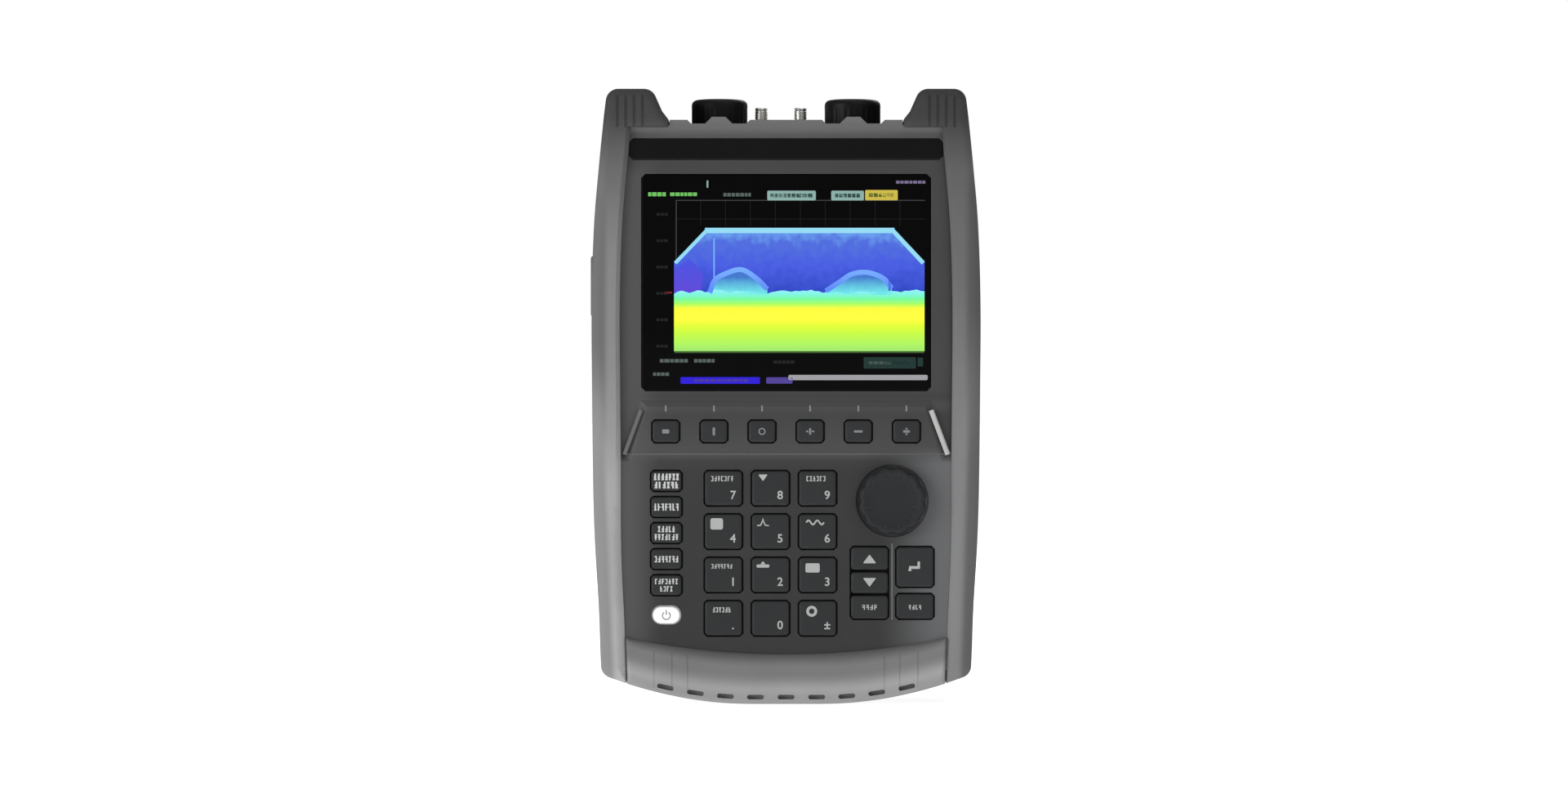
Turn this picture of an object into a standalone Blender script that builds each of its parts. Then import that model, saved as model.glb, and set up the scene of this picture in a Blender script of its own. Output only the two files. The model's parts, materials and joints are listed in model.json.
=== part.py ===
"""Handheld spectrum analyzer: rubber-armoured casing, keypad, display, ports, battery bay and bail stand.

Metres, +Z up, front towards -Y. The unit stands upright on the flat of its bottom bumper, and the origin
is at the middle of its footprint.
"""

import math

import bmesh
import bpy
from mathutils import Matrix, Vector

mm = 0.001

# Clearances that every piece shares
clearance = 0.3 * mm
slide_clearance = 0.35 * mm
overrun = 2.0 * mm
overlap = 1.0 * mm

# Display
window_width = 138.0 * mm
window_height = 103.2 * mm
window_corner = 2.0 * mm
window_side = 12.0 * mm
window_flange = 2.0 * mm
window_flange_thickness = 1.6 * mm
window_recess = 0.3 * mm
panel_margin = 4.0 * mm
panel_thickness = 5.0 * mm

# Header strip above the display
header_gap = 7.3 * mm
header_height = 9.8 * mm
header_thickness = 0.8 * mm
header_end_margin = 1.4 * mm
crest_height = 9.0 * mm
crest_dip = 1.8 * mm
crest_bump = 1.4 * mm
crest_bump_half = 6.5 * mm
crest_dip_half = 15.0 * mm

# Keys
soft_key_count = 6
soft_key_width = 13.3 * mm
soft_key_height = 10.9 * mm
soft_key_gap = 13.2 * mm
soft_to_window = 14.1 * mm
pad_columns = 3
pad_rows = 4
pad_key_width = 18.3 * mm
pad_key_height = 17.0 * mm
pad_gap_x = 4.2 * mm
pad_gap_z = 3.7 * mm
pad_foot_gap = 14.2 * mm
function_key_count = 5
function_key_width = 15.0 * mm
function_key_gap = 2.4 * mm
function_to_pad = 10.6 * mm
power_key_width = 13.5 * mm
power_key_height = 8.6 * mm
power_key_lift = 5.7 * mm
power_key_gap = 5.0 * mm
pad_to_nav = 6.5 * mm
nav_key_width = 18.3 * mm
nav_gap_x = 3.4 * mm
nav_foot = 8.0 * mm
nav_gap_z = 0.6 * mm
nav_up_height = 11.4 * mm
nav_down_height = 10.6 * mm
back_key_height = 11.6 * mm
enter_gap = 2.8 * mm
mode_key_height = 12.4 * mm
key_block_side = 13.2 * mm
key_block_shift = 3.0 * mm
key_corner = 1.6 * mm
key_edge = 0.7 * mm
key_proud = 1.3 * mm
key_flange_x = 1.2 * mm
key_flange_z = 0.6 * mm
key_flange_thickness = 1.2 * mm
key_travel = 1.2 * mm

# Knob and its encoder
knob_radius = 16.4 * mm
knob_to_nav = 5.4 * mm
knob_proud = 5.0 * mm
knob_dish_depth = 1.0 * mm
knob_dish_margin = 0.9 * mm
knob_scallop = 0.7 * mm
knob_scallops = 12
knob_edge = 1.4 * mm
knob_recess_radius = 6.0 * mm
knob_bushing_gap = 1.3 * mm
knob_base_gap = 0.4 * mm
shaft_radius = 3.0 * mm
shaft_into_knob = 3.4 * mm
bushing_wall = 1.2 * mm
bushing_proud = 1.0 * mm
encoder_width = 12.0 * mm

# Casing
lip_width = 12.0 * mm
grip_wall = 4.0 * mm
bumper_wall = 6.0 * mm
side_wall = 3.0 * mm
front_wall = 4.0 * mm
rear_wall = 3.0 * mm
floor_wall = 3.0 * mm
lip_rise = 2.5 * mm
rail_rise = 5.0 * mm
display_step = 2.0 * mm
casing_depth = 67.0 * mm
front_shell_depth = 18.5 * mm
seal_thickness = 1.2 * mm
seal_width = 1.4 * mm
seal_inset = 0.8 * mm
chin_height = 18.3 * mm
chin_rise = 9.7 * mm
horn_height = 14.9 * mm
horn_drop = 2.3 * mm
horn_top_inner = 64.0 * mm
horn_root = 56.0 * mm
horn_neck = 59.2 * mm
horn_neck_rise = 4.1 * mm
horn_corner = 6.0 * mm
casing_edge = 4.0 * mm
casing_corner = 12.0 * mm
sole_half = 16.0 * mm
sole_radius = 187.0 * mm
plateau_inset = 8.5 * mm
plateau_slope = 3.0 * mm
plateau_foot_drop = 5.8 * mm
plateau_top_gap = 4.8 * mm
plateau_foot_gap = 3.0 * mm
notch_pitch = 14.6 * mm
notch_width = 8.0 * mm
notch_height = 2.4 * mm
notch_depth = 5.0 * mm
notch_count = 9

# Connector trough between the horns
trough_depth = 11.7 * mm
crest_thickness = 7.0 * mm
trough_back_wall = 7.0 * mm
plate_thickness = 2.0 * mm
plate_half_length = 50.0 * mm
plate_depth = 25.0 * mm
plate_rim = 4.0 * mm
port_spacing = 64.4 * mm
port_behind_parting = 15.0 * mm
port_base_radius = 10.0 * mm
port_base_height = 3.6 * mm
port_radius = 8.0 * mm
port_height = 16.7 * mm
port_bore_radius = 5.6 * mm
port_bore_depth = 9.0 * mm
small_port_radius = 3.1 * mm
small_port_base_radius = 4.6 * mm
small_port_height = 19.2 * mm
small_port_bore = 2.3 * mm
small_port_bore_depth = 5.0 * mm
small_port_left = 12.0 * mm
small_port_right = 7.0 * mm
cap_wall = 5.2 * mm
cap_top = 6.3 * mm
cap_edge = 2.0 * mm

# Boards and modules
board_thickness = 1.6 * mm
mat_thickness = 1.5 * mm
board_margin = 7.0 * mm
frame_thickness = 2.0 * mm
frame_rim = 3.0 * mm
frame_end_gap = 10.0 * mm
frame_setback = 6.3 * mm
can_height = 7.7 * mm
can_width = 44.0 * mm
can_depth = 36.0 * mm
module_half_width = 58.0 * mm
module_bottom_gap = 33.4 * mm
module_back_gap = 6.0 * mm
module_rib = 2.0 * mm
module_rib_pitch = 14.0 * mm

# Side ports and their doors
port_door_height = 86.0 * mm
port_door_width = 28.0 * mm
port_door_thickness = 3.3 * mm
port_door_behind_parting = 2.0 * mm
door_gap = 0.6 * mm
tab_height = 29.0 * mm
tab_width = 6.0 * mm
tab_rise = 1.2 * mm
socket_margin = 5.0 * mm
socket_depth = 14.0 * mm
socket_wall = 1.5 * mm
socket_sink = 1.6 * mm

# Battery bay
battery_door_width = 94.0 * mm
battery_door_height = 79.0 * mm
battery_door_thickness = 2.7 * mm
battery_ledge = 4.6 * mm
battery_ledge_thickness = 2.0 * mm
bay_wall = 2.2 * mm
latch_gap = 3.0 * mm
latch_recess_width = 26.0 * mm
latch_recess_depth = 2.0 * mm
latch_width = 18.0 * mm
latch_height = 9.0 * mm
latch_travel = 4.0 * mm
latch_rib = 0.8 * mm
latch_rib_width = 1.2 * mm

# Bail stand
bail_half = 66.0 * mm
bail_leg_width = 6.0 * mm
bail_thickness = 4.0 * mm
bail_bar_height = 8.0 * mm
bail_bar_gap = 2.0 * mm
bail_to_door = 5.0 * mm
bail_above_latch = 25.0 * mm
bail_lift = 0.4 * mm
bail_pin_radius = 1.6 * mm
bail_pin_length = 5.0 * mm
ear_width = 7.0 * mm
ear_height = 12.0 * mm

# Case screws
screw_top_x = 70.0 * mm
screw_low_x = 70.5 * mm
screw_top_drop = 4.5 * mm
screw_low_z = 34.0 * mm
screw_radius = 1.4 * mm
screw_head_radius = 2.9 * mm
screw_head_height = 2.2 * mm
screw_into_front = 7.0 * mm
screw_recess = 0.6 * mm
boss_radius = 3.6 * mm
column_radius = 5.0 * mm
drive_radius = 1.3 * mm
drive_depth = 1.2 * mm

# The side curve: (height share, half-width share), up the unit
side_shares = ((0.0, 0.95), (0.14, 0.961), (0.26, 0.983), (0.348, 0.992), (0.52, 0.998), (0.65, 1.0),
               (0.777, 0.988), (0.873, 0.963), (0.968, 0.933), (1.0, 0.92))
side_steps = 12
sole_steps = 5
round_steps = 3
ring_steps = 20
corner_share = 0.49
smooth_angle = 35

# Places worked out up the front
pad_bottom_z = chin_height + pad_foot_gap
pad_pitch_x = pad_key_width + pad_gap_x
pad_pitch_z = pad_key_height + pad_gap_z
pad_width = pad_columns * pad_pitch_x - pad_gap_x
pad_top_z = pad_bottom_z + pad_rows * pad_pitch_z - pad_gap_z
soft_bottom_z = pad_top_z + soft_key_gap
soft_z = soft_bottom_z + soft_key_height / 2
window_bottom_z = soft_bottom_z + soft_key_height + soft_to_window
window_top_z = window_bottom_z + window_height
window_z = (window_bottom_z + window_top_z) / 2
header_bottom_z = window_top_z + header_gap
header_top_z = header_bottom_z + header_height
crest_z = header_top_z + crest_height
horn_base_z = crest_z - horn_drop
body_height = crest_z + horn_height
trough_floor_z = horn_base_z - trough_depth
cavity_top_z = trough_floor_z - floor_wall

# Places worked out across the front
nav_width = 2 * nav_key_width + nav_gap_x
key_block_width = function_key_width + function_to_pad + pad_width + pad_to_nav + nav_width
front_width = max(window_width + 2 * window_side, key_block_width + 2 * key_block_side)
body_width = front_width + 2 * lip_width
half_width = body_width / 2
key_block_left = key_block_shift - key_block_width / 2
function_x = key_block_left + function_key_width / 2
pad_left_x = key_block_left + function_key_width + function_to_pad
nav_left_x = pad_left_x + pad_width + pad_to_nav
nav_x = nav_left_x + nav_width / 2
nav_column_left = nav_left_x + nav_key_width / 2
nav_column_right = nav_left_x + nav_width - nav_key_width / 2
nav_bottom_z = pad_bottom_z + nav_foot
nav_height = back_key_height + nav_down_height + nav_up_height + 2 * nav_gap_z
knob_z = nav_bottom_z + nav_height + knob_to_nav + knob_radius
power_z = pad_bottom_z + power_key_lift + power_key_height / 2
function_low_z = power_z + power_key_height / 2 + power_key_gap
function_pitch = (pad_top_z - function_low_z + function_key_gap) / function_key_count
function_key_height = function_pitch - function_key_gap

# Planes worked out from front to back
knob_face_y = -(casing_depth + knob_proud) / 2
lip_y = knob_face_y + knob_proud
back_y = lip_y + casing_depth
panel_y = lip_y + lip_rise
display_y = panel_y + display_step
front_inner_y = panel_y + front_wall
parting_y = panel_y + front_shell_depth
seal_y = parting_y + clearance
rear_start_y = seal_y + seal_thickness + clearance
rear_y = back_y - rail_rise
rear_inner_y = rear_y - rear_wall
key_face_y = panel_y - key_proud
key_flange_y = front_inner_y + clearance
key_back_y = key_flange_y + key_flange_thickness
mat_y = key_back_y + key_travel + clearance
keypad_board_y = mat_y + mat_thickness + clearance
window_y = display_y + window_recess
window_back_y = front_inner_y + clearance + window_flange_thickness
panel_front_y = window_back_y + clearance
frame_y = parting_y + frame_setback
frame_back_y = frame_y + frame_thickness
main_board_y = frame_y - clearance - can_height - board_thickness
knob_base_y = panel_y + knob_dish_depth - clearance - knob_base_gap
knob_recess_y = panel_y - bushing_proud - knob_bushing_gap
knob_bore_y = knob_recess_y - shaft_into_knob
shaft_start_y = knob_bore_y + clearance
shaft_end_y = keypad_board_y - board_thickness
bay_front_y = frame_back_y + clearance
port_y = parting_y + port_behind_parting

# Insets of the shells, and the back of the unit
core_side = grip_wall + clearance
core_sole = bumper_wall + clearance
cavity_side = core_side + side_wall
cavity_sole = core_sole + side_wall
core_corner = casing_corner - grip_wall
trough_half = horn_root - clearance
bail_bottom_z = chin_height + chin_rise + bail_bar_gap
battery_door_z = bail_bottom_z + bail_bar_height + bail_to_door
battery_door_top = battery_door_z + battery_door_height
latch_low_z = battery_door_top + latch_gap
latch_recess_height = latch_height + latch_travel + overrun
bail_pivot_z = latch_low_z + latch_recess_height + bail_above_latch
bail_y = rear_y + bail_lift + bail_thickness / 2
port_door_y = parting_y + port_door_behind_parting
port_door_back_y = port_door_y + port_door_width
screw_top_z = trough_floor_z - screw_top_drop
screw_places = ((-screw_top_x, screw_top_z), (screw_top_x, screw_top_z),
                (-screw_low_x, screw_low_z), (screw_low_x, screw_low_z))


# Curves of the casing

def smooth_through(knots, value):
    """The smooth curve through the knots, read at a value."""
    value = min(max(value, knots[0][0]), knots[-1][0])
    last = len(knots) - 1
    index = 0
    while index < last - 1 and value > knots[index + 1][0]:
        index += 1
    slopes = []
    for knot in (index, index + 1):
        before = knots[max(knot - 1, 0)]
        after = knots[min(knot + 1, last)]
        slopes.append((after[1] - before[1]) / (after[0] - before[0]))
    low, high = knots[index], knots[index + 1]
    span = high[0] - low[0]
    t = (value - low[0]) / span
    square = t * t
    cube = square * t
    return (low[1] * (2 * cube - 3 * square + 1) + high[1] * (3 * square - 2 * cube)
            + span * (slopes[0] * (cube - 2 * square + t) + slopes[1] * (cube - square)))


def side_x(z):
    """Half the casing's width at a height."""
    return half_width * smooth_through(side_shares, z / body_height)


def sole_z(x):
    """Height of the casing's bottom at a distance from the middle."""
    beyond = max(0.0, abs(x) - sole_half)
    return beyond * beyond / (2 * sole_radius)


def lip_x(z):
    """Inner edge of the side grips' lips at a height."""
    return side_x(z) - lip_width


def rounded(corners, steps=round_steps):
    """An outline with each (x, z, radius) corner of a radius turned into an arc."""
    points = []
    for index, (x, z, radius) in enumerate(corners):
        here = Vector((x, z))
        before = Vector(corners[index - 1][:2]) - here
        after = Vector(corners[(index + 1) % len(corners)][:2]) - here
        if radius <= 0:
            points.append((x, z))
            continue
        half = before.angle(after) / 2
        reach = min(radius / math.tan(half), before.length * corner_share, after.length * corner_share)
        radius = reach * math.tan(half)
        start = here + before.normalized() * reach
        centre = here + (before.normalized() + after.normalized()).normalized() * (radius / math.sin(half))
        turn = (here + after.normalized() * reach - centre).angle_signed(start - centre)
        for step in range(steps + 1):
            arm = (start - centre).copy()
            arm.rotate(Matrix.Rotation(turn * step / steps, 2))
            points.append(tuple(centre + arm))
    return points


def inset(outline, distance):
    """The outline moved inwards by a distance; it runs anticlockwise seen from the front."""
    points = []
    for index, point in enumerate(outline):
        here = Vector(point)
        ahead = (Vector(outline[(index + 1) % len(outline)]) - here).normalized()
        behind = (here - Vector(outline[index - 1])).normalized()
        first = Vector((-behind.y, behind.x))
        second = Vector((-ahead.y, ahead.x))
        points.append(tuple(here + (first + second) * (distance / (1 + first.dot(second)))))
    return points


def sole_points(inner_x, outer_x, rise):
    """Points along the bottom curve, from the inner to the outer distance."""
    points = []
    for step in range(sole_steps):
        x = inner_x + (outer_x - inner_x) * step / sole_steps
        points.append((x, rise + sole_z(x), 0))
    return points


def side_points(low, high, side_inset):
    """Points up the side curve between two heights."""
    points = []
    for step in range(side_steps + 1):
        z = low + (high - low) * step / side_steps
        points.append((side_x(z) - side_inset, z, 0))
    return points


def mirrored(points):
    return [(-x, z, radius) for x, z, radius in reversed(points)]


def casing_outline(side_inset, rise, corner, top_z, crest=()):
    """Outline of the casing inset at its sides and bottom, with a flat top or a crest on it."""
    low_x = side_x(rise) - side_inset
    low_z = rise + sole_z(low_x)
    right = sole_points(sole_half, low_x, rise)
    right.append((low_x, low_z, corner))
    right += side_points(low_z + 2 * corner, top_z, side_inset)
    return rounded(right + list(crest) + mirrored(right))


def crest_points():
    """Top edge of the front wall between the horns, right to left: dips by the caps, with a bump in each."""
    right = [(trough_half, horn_base_z - clearance, 0), (trough_half, crest_z, 0)]
    port = port_spacing / 2
    bottom = crest_z - crest_dip
    dips = [(crest_dip_half, crest_z), (crest_dip_half - crest_dip, bottom), (crest_bump_half, bottom),
            (crest_bump_half / 2, crest_z + crest_bump)]
    right += [(port + x, z, 0) for x, z in dips]
    right += [(port - x, z, 0) for x, z in reversed(dips)]
    return right + mirrored(right)


# Shapes

def add_rings(bm, rings):
    """Skins rings of equal count into one closed body."""
    loops = [[bm.verts.new(point) for point in ring] for ring in rings]
    count = len(loops[0])
    for first, second in zip(loops, loops[1:]):
        for index in range(count):
            after = (index + 1) % count
            bm.faces.new((first[index], first[after], second[after], second[index]))
    bm.faces.new(loops[0][::-1])
    bm.faces.new(loops[-1])


def slab_rings(sections):
    """Rings from (y, outline) sections."""
    return [[(x, y, z) for x, z in outline] for y, outline in sections]


def turned_rings(centre, axis, profile, steps=ring_steps, radius_of=None):
    """Rings of (distance along the axis, radius) about a centre."""
    turn = Vector((0, 0, 1)).rotation_difference(Vector(axis)).to_matrix()
    rings = []
    for distance, radius in profile:
        ring = []
        for step in range(steps):
            angle = math.tau * step / steps
            reach = radius_of(angle, radius) if radius_of else radius
            arm = Vector((reach * math.cos(angle), reach * math.sin(angle), distance))
            ring.append(Vector(centre) + turn @ arm)
        rings.append(ring)
    return rings


def rectangle(x, z, width, height, corner=0.0, steps=1):
    """Outline of a rectangle with rounded corners about a centre."""
    corners = []
    for side_a, side_b in ((-1, -1), (1, -1), (1, 1), (-1, 1)):
        corners.append((x + side_a * width / 2, z + side_b * height / 2, corner))
    return rounded(corners, steps)


def box_rings(low, high):
    """Rings of a box between two corners."""
    outline = [(low[0], low[2]), (high[0], low[2]), (high[0], high[2]), (low[0], high[2])]
    return slab_rings([(low[1], outline), (high[1], outline)])


def edged_sections(outline, front, back, front_edge, back_edge):
    """Sections of a slab whose front and back edges are rounded."""
    sections = []
    for step in range(round_steps + 1):
        angle = math.pi / 2 * step / round_steps
        drop = front_edge * (1 - math.sin(angle))
        sections.append((front + front_edge * (1 - math.cos(angle)), inset(outline, drop)))
    for step in range(round_steps + 1):
        angle = math.pi / 2 * (round_steps - step) / round_steps
        drop = back_edge * (1 - math.sin(angle))
        sections.append((back - back_edge * (1 - math.cos(angle)), inset(outline, drop)))
    return sections


def new_object(name, bodies):
    """An object from a list of bodies, each a list of rings."""
    bm = bmesh.new()
    for rings in bodies:
        add_rings(bm, rings)
    bmesh.ops.recalc_face_normals(bm, faces=bm.faces)
    mesh = bpy.data.meshes.new(name)
    bm.to_mesh(mesh)
    bm.free()
    result = bpy.data.objects.new(name, mesh)
    bpy.context.scene.collection.objects.link(result)
    return result


def helper(name, bodies):
    """A shape that only cuts or joins others."""
    result = new_object(name, bodies)
    result.hide_render = True
    result.display_type = "WIRE"
    return result


def combine(target, tool, operation):
    modifier = target.modifiers.new(tool.name, "BOOLEAN")
    modifier.operation = operation
    modifier.solver = "EXACT"
    modifier.object = tool


def subtract(target, *tools):
    for tool in tools:
        combine(target, tool, "DIFFERENCE")


def unite(target, *tools):
    for tool in tools:
        combine(target, tool, "UNION")


def finish(piece, colour, roughness, metallic=0.0, smooth=False):
    """The piece's own material, and smooth shading on round pieces."""
    surface = bpy.data.materials.new(piece.name)
    surface.use_nodes = True
    shader = surface.node_tree.nodes["Principled BSDF"]
    shader.inputs["Base Color"].default_value = (*colour, 1.0)
    shader.inputs["Roughness"].default_value = roughness
    shader.inputs["Metallic"].default_value = metallic
    piece.data.materials.append(surface)
    if smooth:
        piece.data.shade_smooth()
        piece.data.set_sharp_from_angle(angle=math.radians(smooth_angle))
    return piece


def set_origin(piece, origin):
    """Moves the piece's origin to a point, with its shape where it was."""
    piece.data.transform(Matrix.Translation(-Vector(origin)))
    piece.location = origin


rubber = (0.075, 0.077, 0.078)
rubber_light = (0.2, 0.2, 0.2)
casing_grey = (0.06, 0.062, 0.066)
key_grey = (0.035, 0.036, 0.038)
black = (0.008, 0.008, 0.009)
board_green = (0.02, 0.11, 0.05)
metal = (0.62, 0.62, 0.6)
steel = (0.5, 0.5, 0.5)
white = (0.8, 0.8, 0.78)


# Keys: (name, x, z, width, height, corner, flange at top and bottom)

def key_table():
    rows = []
    pitch = window_width / soft_key_count
    for index in range(soft_key_count):
        x = (index + 0.5) * pitch - window_width / 2
        rows.append((f"soft_key_{index + 1}", x, soft_z, soft_key_width, soft_key_height, key_corner,
                     key_flange_z))
    for index in range(function_key_count):
        z = pad_top_z - function_key_height / 2 - index * function_pitch
        rows.append((f"function_key_{index + 1}", function_x, z, function_key_width, function_key_height,
                     key_corner, key_flange_z))
    rows.append(("power_key", function_x, power_z, power_key_width, power_key_height,
                 power_key_height / 2, key_flange_z))
    for index in range(pad_rows * pad_columns):
        row, column = divmod(index, pad_columns)
        x = pad_left_x + pad_key_width / 2 + column * pad_pitch_x
        z = pad_top_z - pad_key_height / 2 - row * pad_pitch_z
        rows.append((f"pad_key_{index + 1}", x, z, pad_key_width, pad_key_height, key_corner, key_flange_z))
    z = nav_bottom_z
    for name, height in (("back_key", back_key_height), ("nav_down_key", nav_down_height),
                         ("nav_up_key", nav_up_height)):
        rows.append((name, nav_column_left, z + height / 2, nav_key_width, height, key_corner, 0.0))
        z += height + nav_gap_z
    rows.append(("mode_key", nav_column_right, nav_bottom_z + mode_key_height / 2, nav_key_width,
                 mode_key_height, key_corner, key_flange_z))
    enter_height = nav_height - mode_key_height - enter_gap
    rows.append(("enter_key", nav_column_right, nav_bottom_z + nav_height - enter_height / 2, nav_key_width,
                 enter_height, key_corner, key_flange_z))
    return rows


def key_steps(name):
    return 4 if name == "power_key" else 1


def make_keys():
    """Each key is a cap with a flange that rests behind the front wall, and travels inwards."""
    for name, x, z, width, height, corner, flange in key_table():
        steps = key_steps(name)
        cap = rectangle(x, z, width, height, corner, steps)
        wide = rectangle(x, z, width + 2 * key_flange_x, height + 2 * flange, corner, steps)
        top = rectangle(x, z, width - 2 * key_edge, height - 2 * key_edge, corner, steps)
        sections = [(key_face_y, top), (key_face_y + key_edge, cap), (key_flange_y, cap),
                    (key_flange_y, wide), (key_back_y, wide)]
        key = new_object(name, [slab_rings(sections)])
        set_origin(key, (x, key_flange_y, z))
        finish(key, white if name == "power_key" else key_grey, 0.5)


def key_holes():
    """Openings in the front wall, one for each key and one shared by the left arrow column."""
    start = panel_y - overrun
    end = front_inner_y + overrun
    bodies = []
    column = ("back_key", "nav_down_key", "nav_up_key")
    for name, x, z, width, height, corner, _ in key_table():
        if name in column:
            continue
        outline = rectangle(x, z, width + 2 * slide_clearance, height + 2 * slide_clearance, corner,
                            key_steps(name))
        bodies.append(slab_rings([(start, outline), (end, outline)]))
    outline = rectangle(nav_column_left, nav_bottom_z + nav_height / 2, nav_key_width + 2 * slide_clearance,
                        nav_height + 2 * slide_clearance, key_corner)
    bodies.append(slab_rings([(start, outline), (end, outline)]))
    return helper("key_holes", bodies)


# Casing pieces

def core_cutter():
    """The space that the shells take inside the grips and the bumper."""
    outline = casing_outline(grip_wall, bumper_wall, core_corner, horn_base_z)
    sections = [(panel_y - clearance, outline), (rear_y + clearance, outline)]
    return helper("core_space", [slab_rings(sections)])


def make_grip(name, side, core):
    """Side grip: a channel with front and rear lips round the shells' side, and a horn on top."""
    low_x = side_x(0)
    low_z = sole_z(low_x)
    corners = sole_points(horn_root, low_x, 0)
    corners.append((low_x, low_z, casing_corner))
    corners += side_points(low_z + 2 * casing_corner, body_height - horn_corner, 0)
    corners.append((side_x(body_height), body_height, horn_corner))
    corners.append((horn_top_inner, body_height, horn_corner))
    corners.append((horn_neck, crest_z + horn_neck_rise, 0))
    corners.append((horn_root, crest_z, casing_edge))
    sections = edged_sections(rounded(corners), lip_y, back_y, casing_edge, casing_edge)
    sections = [(y, [(side * x, z) for x, z in outline]) for y, outline in sections]
    grip = new_object(name, [slab_rings(sections)])
    window = []
    for step in range(side_steps + 1):
        z = (horn_base_z + overrun) * step / side_steps - overrun
        window.append((lip_x(z), z, 0))
    outline = rounded(window + mirrored(window))
    opening = slab_rings([(lip_y - overrun, outline), (back_y + overrun, outline)])
    subtract(grip, helper(name + "_lip_opening", [opening]), core)
    door = box_rings((side * (half_width - lip_width), port_door_y, window_bottom_z),
                     (side * (half_width + overrun), port_door_back_y, window_bottom_z + port_door_height))
    subtract(grip, helper(name + "_door_opening", [door]))
    finish(grip, rubber, 0.75, smooth=True)


def make_bumper(core):
    """Bottom bumper: a channel under the shells between the grips, notched along its lower edges."""
    top_x = lip_x(chin_height + chin_rise) - clearance
    low_x = lip_x(0) - clearance
    right = sole_points(sole_half, low_x, 0)
    right.append((low_x, sole_z(low_x), 0))
    chin = []
    for step in range(2 * sole_steps + 1):
        share = 1 - step / sole_steps
        chin.append((top_x * share, chin_height + chin_rise * share * share, 0))
    outline = rounded(right + chin + mirrored(right))
    sections = edged_sections(outline, lip_y, back_y, casing_edge / 2, casing_edge)
    bumper = new_object("bottom_bumper", [slab_rings(sections)])
    notches = []
    for index in range(notch_count):
        x = (index - (notch_count - 1) / 2) * notch_pitch
        z = sole_z(x)
        tilt = math.copysign(math.atan(max(0.0, abs(x) - sole_half) / sole_radius), x)
        for start, end in ((lip_y - overrun, lip_y + notch_depth), (back_y - notch_depth, back_y + overrun)):
            low = (-notch_width / 2, start, -overrun)
            high = (notch_width / 2, end, notch_height)
            rings = []
            for ring in box_rings(low, high):
                turned = []
                for px, py, pz in ring:
                    turned.append((x + px * math.cos(tilt) - pz * math.sin(tilt), py,
                                   z + px * math.sin(tilt) + pz * math.cos(tilt)))
                rings.append(turned)
            notches.append(rings)
    subtract(bumper, core, helper("bumper_notches", notches))
    finish(bumper, rubber_light, 0.8, smooth=True)


def trough_cutter():
    """The connector trough, open to the top, between the horns."""
    low = (-trough_half, panel_y + crest_thickness, trough_floor_z)
    high = (trough_half, rear_y - trough_back_wall, crest_z + crest_bump + overrun)
    return helper("trough", [box_rings(low, high)])


def cavity_cutter():
    outline = casing_outline(cavity_side, cavity_sole, core_corner, cavity_top_z)
    return helper("cavity", [slab_rings([(front_inner_y, outline), (rear_inner_y, outline)])])


def cylinders(places, start, end, radius, steps=ring_steps):
    bodies = []
    for x, z in places:
        bodies.append(turned_rings((x, start, z), (0, 1, 0), [(0, radius), (end - start, radius)], steps))
    return bodies


def recess_outline(grow):
    """Outline of the sunk field round the display: it steps round the raised soft-key panel."""
    foot_z = soft_bottom_z - plateau_foot_drop - grow
    top_z = window_bottom_z - plateau_top_gap - grow
    foot_x = lip_x(foot_z) - plateau_foot_gap - grow
    top_x = lip_x(top_z) - plateau_inset - plateau_foot_gap - grow
    corners = [(-top_x, top_z), (top_x, top_z), (foot_x, foot_z)]
    right = []
    for step in range(side_steps + 1):
        z = foot_z + (header_top_z + plateau_foot_gap + grow - foot_z) * step / side_steps
        right.append((lip_x(z) + overlap, z))
    left = [(-x, z) for x, z in reversed(right)]
    return corners + right + left + [(-foot_x, foot_z)]


def make_front_shell(trough, cavity):
    """Front shell: front wall with the display, key and knob openings, and the crest before the ports."""
    outline = casing_outline(core_side, core_sole, core_corner, horn_base_z - clearance, crest_points())
    shell = new_object("front_shell", [slab_rings([(panel_y, outline), (parting_y, outline)])])
    bosses = helper("front_bosses", cylinders(screw_places, front_inner_y - overlap, parting_y, boss_radius))
    subtract(shell, cavity)
    unite(shell, bosses)
    subtract(shell, trough)
    threads = cylinders(screw_places, parting_y - screw_into_front - clearance, parting_y + overrun,
                        screw_radius + clearance)
    recess = [(panel_y - overrun, recess_outline(plateau_slope)), (panel_y, recess_outline(plateau_slope)),
              (display_y, recess_outline(0))]
    subtract(shell, helper("front_threads", threads), helper("display_recess", [slab_rings(recess)]))
    aperture = rectangle(0, window_z, window_width + 2 * slide_clearance,
                         window_height + 2 * slide_clearance, window_corner)
    header = rectangle(0, (header_bottom_z + header_top_z) / 2, 2 * header_half() + 2 * slide_clearance,
                       header_height + 2 * slide_clearance, window_corner)
    subtract(shell, helper("display_openings", [
        slab_rings([(panel_y - overrun, aperture), (front_inner_y + overrun, aperture)]),
        slab_rings([(panel_y - overrun, header), (display_y + header_thickness + clearance, header)])]))
    dish = [(-overrun, knob_radius + knob_dish_margin), (knob_dish_depth, knob_radius + knob_dish_margin)]
    bushing = shaft_radius + clearance + bushing_wall + clearance
    hole = [(knob_dish_depth - overlap, bushing), (front_wall + overrun, bushing)]
    subtract(shell, key_holes(),
             helper("knob_dish", [turned_rings((nav_x, panel_y, knob_z), (0, 1, 0), dish, 2 * ring_steps)]),
             helper("bushing_hole", [turned_rings((nav_x, panel_y, knob_z), (0, 1, 0), hole)]))
    finish(shell, casing_grey, 0.6)


def header_half():
    return lip_x(header_top_z) - header_end_margin


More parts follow.
